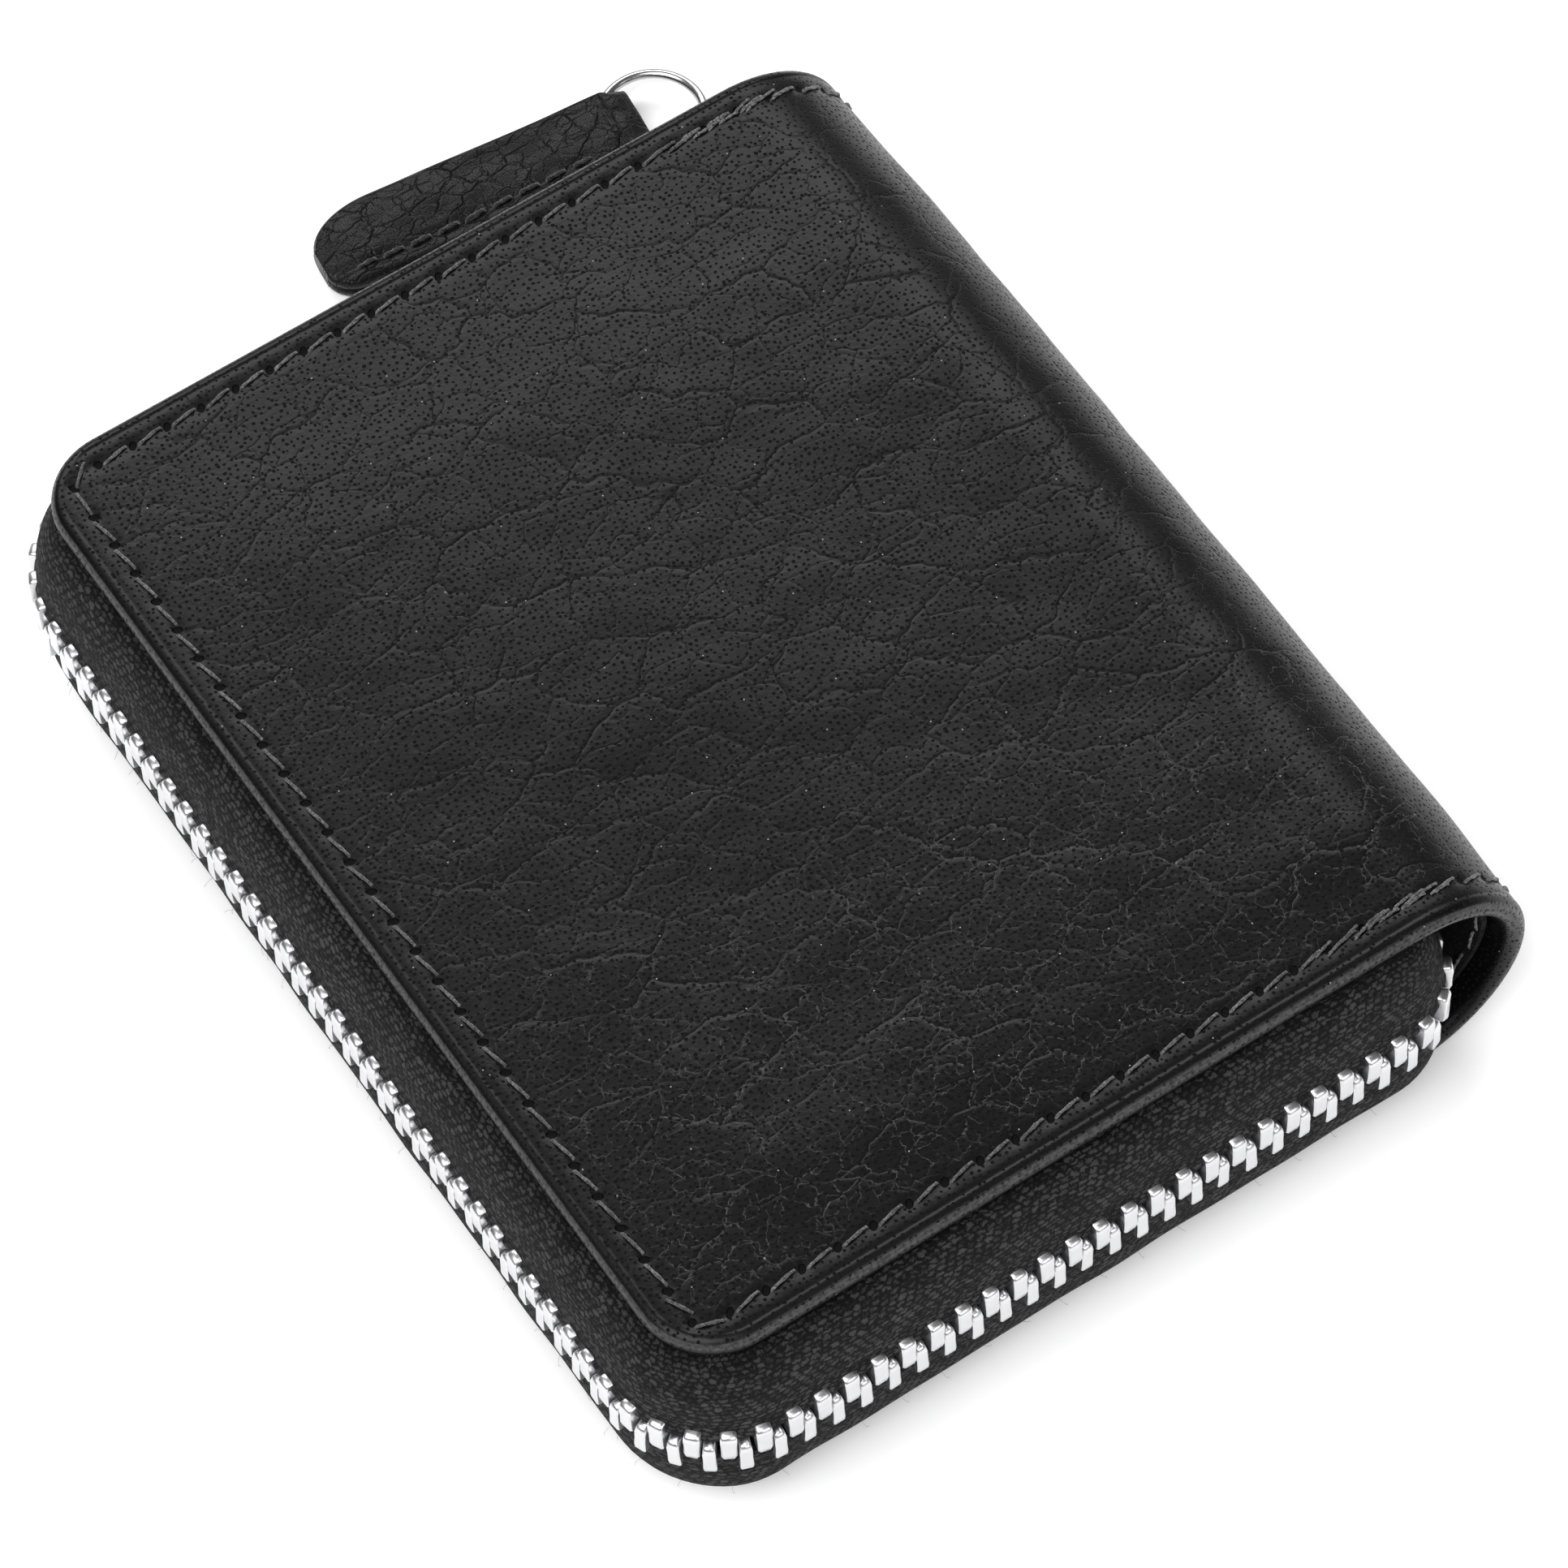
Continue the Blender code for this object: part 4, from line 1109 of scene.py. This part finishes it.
def stop(name, run, half_along, half_across, low, high, node, body):
    x, y, nx, ny = on_zip(run)

    def place(u, v, w):
        return x - ny * u + nx * v, y + nx * u + ny * v, w

    clip = extrude(rounded_outline(half_along, half_across, 0.35, 3), place, low, high)
    pressed = rounded_outline(half_along * 0.35, half_across + 0.05, 0.1, 2)
    dent = extrude(pressed, place, low + 0.7, high - 0.7)
    casting(name, [clip, dent], node, body, "zip_teeth", 0.12, TOOTH_METAL)


stop("upper_end_clip", HOME_RUN - 0.9, 0.6, 1.15, MID + 0.5, MID + 2.9, "upper_top_stop", "front")
stop("lower_end_clip", HOME_RUN - 0.9, 0.6, 1.15, MID - 2.9, MID - 0.5, "lower_top_stop", "back")
stop("closed_end_clip", ZIP_RUN[-1] - 1.0, 0.8, 1.3, MID - 2.9, MID + 2.9, "bottom_stop", "back")


# %% [markdown]
# ## Pull tab
# A strip of softer, pebbled leather is folded along its far edge and round the ring, and sewn along its
# near edge. It is a run of cross-sections: one smooth fold side, one side where the two raw edges meet,
# a swelling over the wire, and a rounded free end. The way for the wire is cut through with a Boolean,
# curved along the ring, and taller away from the wire's middle, where the tab swings.

# %% Tab leather and tab
TAB_LEATHER = make_leather("tab leather", 0.0036, 0.2, 0.8, 0.32, 0.06, crackle=0.0, seam=False, scale=2.6)
TAB_LONG, TAB_HALF, TAB_THICK, TAB_FOLD = 30.5, 3.95, 2.5, 3.8
TAB_TURN = radians(-6.4)
TAB_AXIS = 25.2                        # where the tab's own swing axis crosses the ring's middle
TAB_END = np.array((27.9, 62.3, 0.05))
TAB_SEAM = -TAB_HALF + 1.6


def tab_place(run, across, z):
    run, across, z = np.broadcast_arrays(run, across, z)
    x, y = -run, across
    turned = np.stack((x * cos(TAB_TURN) - y * sin(TAB_TURN), x * sin(TAB_TURN) + y * cos(TAB_TURN), z), -1)
    return turned + TAB_END


def tab_size(run):
    """Near edge, far edge, thickness and bevel at a distance from the fold's end."""
    def corner(length, depth):
        end = np.clip((run - (TAB_LONG - length)) / length, 0, 1)
        return depth * (1 - np.sqrt(np.clip(1 - end ** 2, 0.02, 1)))

    start = np.clip(1 - run / 2.3, 0, 1)
    waist = 0.42 * smooth(start * 2.2)
    far = TAB_HALF + 0.6 * smooth((run - 6.0) / 14.0) - corner(6.5, 3.9) - waist
    near = -TAB_HALF + corner(2.8, 2.4) + waist
    thick = TAB_FOLD + (TAB_THICK - TAB_FOLD) * smooth((run - 1.0) / 21.0)
    end = np.clip((run - (TAB_LONG - 3.2)) / 3.2, 0, 1)
    return near, far, thick, 0.95 * start ** 1.8 + 0.30 * end ** 3


def make_tab():
    runs = np.concatenate((np.linspace(0, 3, 14), np.linspace(3.3, TAB_LONG - 3.4, 66),
                           TAB_LONG - 3.2 + 3.2 * np.sin(np.linspace(0, pi / 2, 20))))
    top = np.linspace(1.0, -1.0, 34)
    rings, pattern = [], []
    for run in runs:
        low_edge, high_edge, thick, inset = (float(v) for v in tab_size(run))
        half = (high_edge - low_edge) / 2
        bevel = min(0.9, half * 0.8)
        across = low_edge + 0.3 + (top + 1) / 2 * (high_edge - bevel - low_edge - 0.3)
        crown = 0.14 * (1 - ((across - low_edge) / half - 1) ** 2)
        seam = -0.26 * np.exp(-((across - TAB_SEAM) / 0.5) ** 2) * float(smooth((run - 5.0) / 2))
        seam = seam - 0.22 * np.exp(-((run - 2.7) / 0.3) ** 2)
        grain = 0.08 * waves(run, across, 3.1, 21) + 0.12 * waves(run, across, 8.0, 22)
        upper = np.stack((across, thick - inset - 0.14 + crown + seam + grain), -1)
        near = np.array([(0.02, 0.75), (0.0, 0.6), (0.32, 0.5), (0.0, 0.4), (0.02, 0.25)])
        near = near * (1.0, thick) + (low_edge, 0.0)
        lower = np.stack((across[::-1], np.full(len(across), inset + 0.0)), -1)
        turn = np.linspace(-0.5 * pi, 0.5 * pi, 9)[1:-1]
        rise = (thick - 2 * inset) / 2
        far = np.stack((high_edge - bevel + bevel * np.cos(turn), inset + rise + rise * np.sin(turn)), -1)
        section = np.concatenate((upper, near, lower, far))
        rings.append(tab_place(run, section[:, 0], section[:, 1]))
        pattern.append(np.stack((np.full(len(section), run), section[:, 0] + 0.3 * section[:, 1]), -1))
    tab = make_mesh("leather_tab", np.concatenate(rings), tube_faces(len(runs), len(rings[0])), TAB_LEATHER,
                    {"pattern": np.concatenate(pattern)}, sharp=70.0)
    # Distance of each part of the ring from the tab's own swing axis.
    turns = np.radians(np.linspace(-84, 84, 29))
    across = RING[0] - RING_R * np.cos(turns) - TAB_AXIS
    away = np.abs(across * cos(TAB_TURN) + RING_R * np.sin(turns) * sin(TAB_TURN))
    points, sides = [], 16
    for turn, far_off in zip(turns, away):
        for k in range(sides):
            a = 2 * pi * (k + 0.5) / sides
            reach = RING_R + (RING_WIRE + 0.25 + 0.15 * far_off) * cos(a)
            rise = (RING_WIRE + 0.18) * sin(a) + (0.46 if sin(a) > 0 else -0.46) * far_off
            points.append((RING[0] - reach * cos(turn), RING[1] + reach * sin(turn), RING[2] + rise))
    cutter = make_mesh("wire_way", points, tube_faces(len(turns), sides), TAB_LEATHER)
    cut = tab.modifiers.new("way for the wire", 'BOOLEAN')
    cut.operation, cut.object, cut.solver = 'DIFFERENCE', cutter, 'EXACT'
    made = bpy.data.meshes.new_from_object(tab.evaluated_get(bpy.context.evaluated_depsgraph_get()))
    tab.modifiers.clear()
    tab.data = made
    bpy.data.objects.remove(cutter, do_unlink=True)
    return tab


tab = keep(make_tab(), "tab_leather", "tab", "pull_tab")
print("tab", len(tab.data.polygons), "faces")

# %% Tab stitches
tab_runs = np.linspace(6.6, TAB_LONG - 3.4, 40)
tab_stitch = stitch_shape("tab_stitch", 2.2, 0.19, 0.1, 1.2)
tab_line = tab_place(tab_runs, TAB_SEAM, tab_size(tab_runs)[2] - 0.18)
tab_ups = np.tile((0.0, 0.0, 1.0), (len(tab_runs), 1))
tab_seam = set_along("tab_stitches", tab_line, tab_ups, tab_stitch, 9, DARK_THREAD, 0.0, 0.06)
keep(tab_seam, "tab_leather", "tab")


# %% [markdown]
# ## Inside: linings, card slots and coin pocket
# Everything inside is thin sheet. One helper makes a closed slab between two depths under the outer
# face, so the linings can bend round the spine with the leather, and the pocket panels can be the same
# slab in leather with a rolled mouth and their own stitches.

# %% Slabs
INNER_LEATHER = make_leather("inner leather", 0.0075, 0.6, 0.4, 0.42, crackle=0.0, seam=False)


def slab_parts(s_values, half, outer, inner, front, columns=60):
    t = np.linspace(-1, 1, columns)
    s2, t2 = np.meshgrid(s_values, t, indexing="ij")
    y2 = half(s2) * t2
    rows = len(s_values)
    points = np.concatenate([wrap(s2, y2, -depth(s2, y2), front).reshape(-1, 3) for depth in (outer, inner)])
    pattern = np.tile(np.stack((s2.ravel(), y2.ravel()), -1), (2, 1))
    faces = grid_faces(rows, columns) + grid_faces(rows, columns, rows * columns)
    border = [(0, j) for j in range(columns)] + [(i, columns - 1) for i in range(1, rows)]
    border += [(rows - 1, j) for j in range(columns - 2, -1, -1)] + [(i, 0) for i in range(rows - 2, 0, -1)]
    ring = [i * columns + j for i, j in border]
    for a, b in zip(ring, ring[1:] + ring[:1]):
        faces.append((a, b, b + rows * columns, a + rows * columns))
    return points, faces, pattern


def rounded_half(half, left, corner):
    def width(s):
        run = np.clip(corner - (s - left), 0, corner)
        return half - corner + np.sqrt(np.maximum(corner ** 2 - run ** 2, 0.04))
    return width


# %% Linings
def make_lining(name, front):
    left, corner = LEFT + 2.6, 4.0
    s_values = np.concatenate((left + corner * (1 - np.cos(np.linspace(0, pi / 2, 9))),
                               np.linspace(left + corner + 0.8, SPINE_S, 90)))

    def depth(s, y):
        uneven = 0.07 * (1 + waves(s, y, 17.0, 41 if front else 42)) * smooth((s - 21) / 4)
        return 3.3 + (2.2 - 3.3) * smooth((s - 21.0) / 3.5) + uneven

    points, faces, pattern = slab_parts(s_values, rounded_half(HALF - 2.6, left, corner), depth,
                                        lambda s, y: depth(s, y) + 0.5, front)
    return make_mesh(name, points, faces, LINING_CLOTH, {"pattern": pattern}, sharp=60.0)


keep_bent(make_lining("front_lining_cloth", True), "lining", True, "front_lining", "spine_lining")
keep_bent(make_lining("back_lining_cloth", False), "lining", False, "back_lining")


# %% Pocket helpers
def rolled_edge(x, y0, y1, z, radius):
    """A rolled leather edge along Y: a round bar with closed ends."""
    count, sides = 48, 10
    points, pattern = [], []
    for i in range(count + 1):
        y = y0 + (y1 - y0) * i / count
        shrink = 1.0 if 0 < i < count else 0.6
        for k in range(sides):
            a = 2 * pi * k / sides
            points.append((x + radius * shrink * cos(a), y, z + radius * shrink * 0.85 * sin(a)))
            pattern.append((x + radius * a, y))
    return points, tube_faces(count + 1, sides), np.array(pattern)


def u_wall(left, mouth, half, width, low, high):
    """Three sewn sides between two heights."""
    outer = [(mouth, -half), (left, -half), (left, half), (mouth, half)]
    inner = [(mouth, -half + width), (left + width, -half + width), (left + width, half - width),
             (mouth, half - width)]
    points = []
    for (xo, yo), (xi, yi) in zip(outer, inner):
        points += [(xo, yo, low), (xi, yi, low), (xi, yi, high), (xo, yo, high)]
    return points, tube_faces(4, 4), np.array([p[:2] for p in points])


def pocket(name, bodies, material, body, node, slot="leather"):
    points, faces = join_bodies([(p, f) for p, f, _ in bodies])
    pattern = np.concatenate([flat for _, _, flat in bodies])
    keep(make_mesh(name, points, faces, material, {"pattern": pattern}, sharp=50.0), slot, body, node)


def inside_stitches(name, corners, z, up_z, body):
    """Stitches along straight runs between corners, on a face that looks up or down."""
    line = np.concatenate([np.linspace(a, b, 30, endpoint=False) for a, b in zip(corners, corners[1:])]
                          + [np.array([corners[-1]], float)])
    length = float(np.sum(np.hypot(*np.diff(line, axis=0).T)))
    points = np.column_stack((line, np.full(len(line), z)))
    ups = np.tile((0.0, 0.0, up_z), (len(line), 1))
    count = max(3, int(length / 2.9))
    keep(set_along(name, points, ups, INNER_STITCH, count, THREAD, 0.0, 0.04), "leather", body)


INNER_STITCH = stitch_shape("inner_stitch", 2.3, 0.17, 0.05, 1.2)

# %% Card slots
POCKET_LEFT, POCKET_HALF = -36.4, 45.6
MOUTHS = [16.0 - 8.0 * k for k in range(3)]
for k, mouth in enumerate(MOUTHS):
    near_face = 3.95 + 1.5 * k
    ledge = near_face + 0.85
    inner_face = near_face + 1.35

    def plate_depth(s, y, base):
        return base + 0.05 * waves(s, y, 21.0, 50 + k) * smooth((POCKET_HALF - np.abs(y)) / 5)

    s_values = np.linspace(POCKET_LEFT, mouth - 0.35, 70)
    plate = slab_parts(s_values, lambda s: POCKET_HALF + 0 * s, lambda s, y: plate_depth(s, y, ledge),
                       lambda s, y: plate_depth(s, y, inner_face - 0.05), True, 110)
    z = TOP - inner_face
    bead = rolled_edge(mouth - 0.42, -POCKET_HALF + 0.1, POCKET_HALF - 0.1, z + 0.42, 0.42)
    wall = u_wall(POCKET_LEFT, mouth, POCKET_HALF, 1.4, TOP - ledge + 0.01, TOP - near_face)
    pocket("card_pocket_%d" % (k + 1), [plate, bead, wall], INNER_LEATHER, "front", "card_slot_%d" % (k + 1))
    edge, begin = POCKET_HALF - 1.0, mouth - 1.2
    if k < 2:
        for side, label in ((-1, "n"), (1, "f")):
            inside_stitches("card_stitches_%d%s" % (k + 1, label),
                            [(begin, side * edge), (MOUTHS[k + 1] + 0.5, side * edge)], z, -1.0, "front")
    else:
        end = POCKET_LEFT + 1.0
        inside_stitches("card_stitches_3", [(begin, -edge), (end, -edge), (end, edge), (begin, edge)],
                        z, -1.0, "front")

# %% Coin pocket
coin_s = np.linspace(POCKET_LEFT, 16.6, 90)


def coin_depth(s, y):
    middle = smooth((s - POCKET_LEFT - 2) / 14) * smooth((POCKET_HALF - np.abs(y) - 2) / 14)
    return 9.35 + middle * (0.45 + 0.16 * waves(s, y, 23.0, 61) + 0.05 * waves(s, y, 8.0, 62))


coin_plate = slab_parts(coin_s, lambda s: POCKET_HALF + 0 * s, lambda s, y: coin_depth(s, y) - 0.65,
                        coin_depth, False, 120)
coin_bead = rolled_edge(16.55, -POCKET_HALF + 0.1, POCKET_HALF - 0.1, 9.05, 0.45)
pocket("coin_panel", [coin_plate, coin_bead], INNER_LEATHER, "back", "coin_pocket_panel")
edge, end = POCKET_HALF - 1.2, POCKET_LEFT + 1.2
inside_stitches("coin_stitches", [(15.6, -edge), (end, -edge), (end, edge), (15.6, edge)], 9.38, 1.0, "back")


def pleat(name, start, end, outward, node):
    """One soft inward fold of cloth between the lining and the coin panel."""
    steps, count, low, high = 12, 60, 3.95, 8.55
    start, end, outward = np.array(start, float), np.array(end, float), np.array(outward, float)
    points, pattern = [], []
    for i in range(count + 1):
        along = i / count
        base = start + (end - start) * along
        ripple = 0.12 * float(waves(np.array(along * 50.0), np.array(0.0), 14.0, 71))
        wall = [(-(2.2 + ripple) * (1 - abs(2 * j / steps - 1) ** 1.5), low + (high - low) * j / steps)
                for j in range(steps + 1)]
        for j, (d, z) in enumerate(wall + [(d - 0.5, z) for d, z in wall[::-1]]):
            points.append((base[0] + outward[0] * d, base[1] + outward[1] * d, z))
            pattern.append((along * 50.0, j * 0.45))
    faces = tube_faces(count + 1, 2 * (steps + 1))
    pocket(name, [(points, faces, np.array(pattern))], LINING_CLOTH, "back", node, "lining")


pleat("coin_pleat_near", (-32.5, -45.4), (16.5, -45.4), (0, -1), "coin_gusset_near")
pleat("coin_pleat_far", (-32.5, 45.4), (16.5, 45.4), (0, 1), "coin_gusset_far")
pleat("coin_pleat_bottom", (-36.2, -41.8), (-36.2, 41.8), (-1, 0), "coin_gusset_bottom")


# %% Boards
def make_board_finish():
    mat, tree, shader = new_material("fibre board")
    fibres = noise(tree, add(tree, "ShaderNodeTexCoord").outputs["Object"], 2600.0, 5.0)
    colour = blend_colour(tree, fibres, (0.22, 0.19, 0.15, 1.0), (0.40, 0.36, 0.30, 1.0))
    plug(shader, {"Base Color": colour, "Roughness": 0.9})
    set_bump(tree, shader, fibres, 0.5, 0.05)
    return mat


FIBRE_BOARD = make_board_finish()
for node in ("front_board", "back_board"):
    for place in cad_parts[node].material_slots:
        place.material = FIBRE_BOARD

# %% [markdown]
# ## Camera, floor and light
# The purse lies on a white sheet in a white studio. Black leather shows by what it mirrors, so a broad
# soft light stands low behind the purse: the far part of the cover mirrors it, and the near part
# mirrors the darker room above it. A large light from the front and left whitens the floor, and the
# floor lights the teeth.

# %% Camera
def direction(azimuth, elevation):
    """From the purse towards this azimuth and elevation, in degrees."""
    a, e = radians(azimuth), radians(elevation)
    return Vector((sin(a) * cos(e), -cos(a) * cos(e), sin(e)))


def view_axes(azimuth, elevation, roll):
    a, r = radians(azimuth), radians(roll)
    back = direction(azimuth, elevation)
    right = Vector((cos(a), sin(a), 0))
    up = back.cross(right)
    return right * cos(r) + up * sin(r), up * cos(r) - right * sin(r), back


right, up, back = view_axes(-30.74, 58.902, -3.332)
camera = link_object("camera", bpy.data.cameras.new("camera"))
camera.data.sensor_width = 36.0
camera.data.lens = 165.71
camera.data.clip_start = 0.01
spot = right * 0.000923 + up * 0.00202 + back * 0.583334
camera.matrix_world = Matrix.Translation(spot) @ Matrix((right, up, back)).transposed().to_4x4()
bpy.context.scene.camera = camera

# %% Floor
WHITE = (1.0, 1.0, 1.0, 1.0)
floor_mat, _, floor_shader = new_material("white sheet")
plug(floor_shader, {"Base Color": (0.98, 0.98, 0.98, 1.0), "Roughness": 0.9, "Specular IOR Level": 0.1,
                    "Emission Color": WHITE, "Emission Strength": 0.18})
floor = make_mesh("floor", [(-900, -900, -0.02), (900, -900, -0.02), (900, 900, -0.02), (-900, 900, -0.02)],
                  [(0, 1, 2, 3)], floor_mat, outward=False)


# %% Lights
def softbox(name, azimuth, elevation, distance, size, power):
    """A square light at this direction from the purse, facing it; distance and size in metres."""
    data = bpy.data.lights.new(name, 'AREA')
    data.shape = 'RECTANGLE'
    data.size, data.size_y = size
    data.energy = power
    light = link_object(name, data)
    back = direction(azimuth, elevation)
    light.location = back * distance
    light.rotation_mode = 'QUATERNION'
    light.rotation_quaternion = back.to_track_quat('Z', 'Y')


softbox("back light", 156, 42, 1.2, (1.3, 0.5), 8.8)
softbox("key light", -70, 60, 1.2, (0.9, 0.9), 13.0)
softbox("front fill", 10, 35, 1.3, (0.9, 0.5), 5.5)
world = bpy.data.worlds.new("studio")
bpy.context.scene.world = world
world.use_nodes = True
plug(world.node_tree.nodes["Background"], {"Color": WHITE, "Strength": 0.12})
bpy.context.scene.view_settings.view_transform = 'Standard'

# %% Clear the pattern shapes and finish
for shape in SHAPES:
    bpy.data.objects.remove(shape, do_unlink=True)
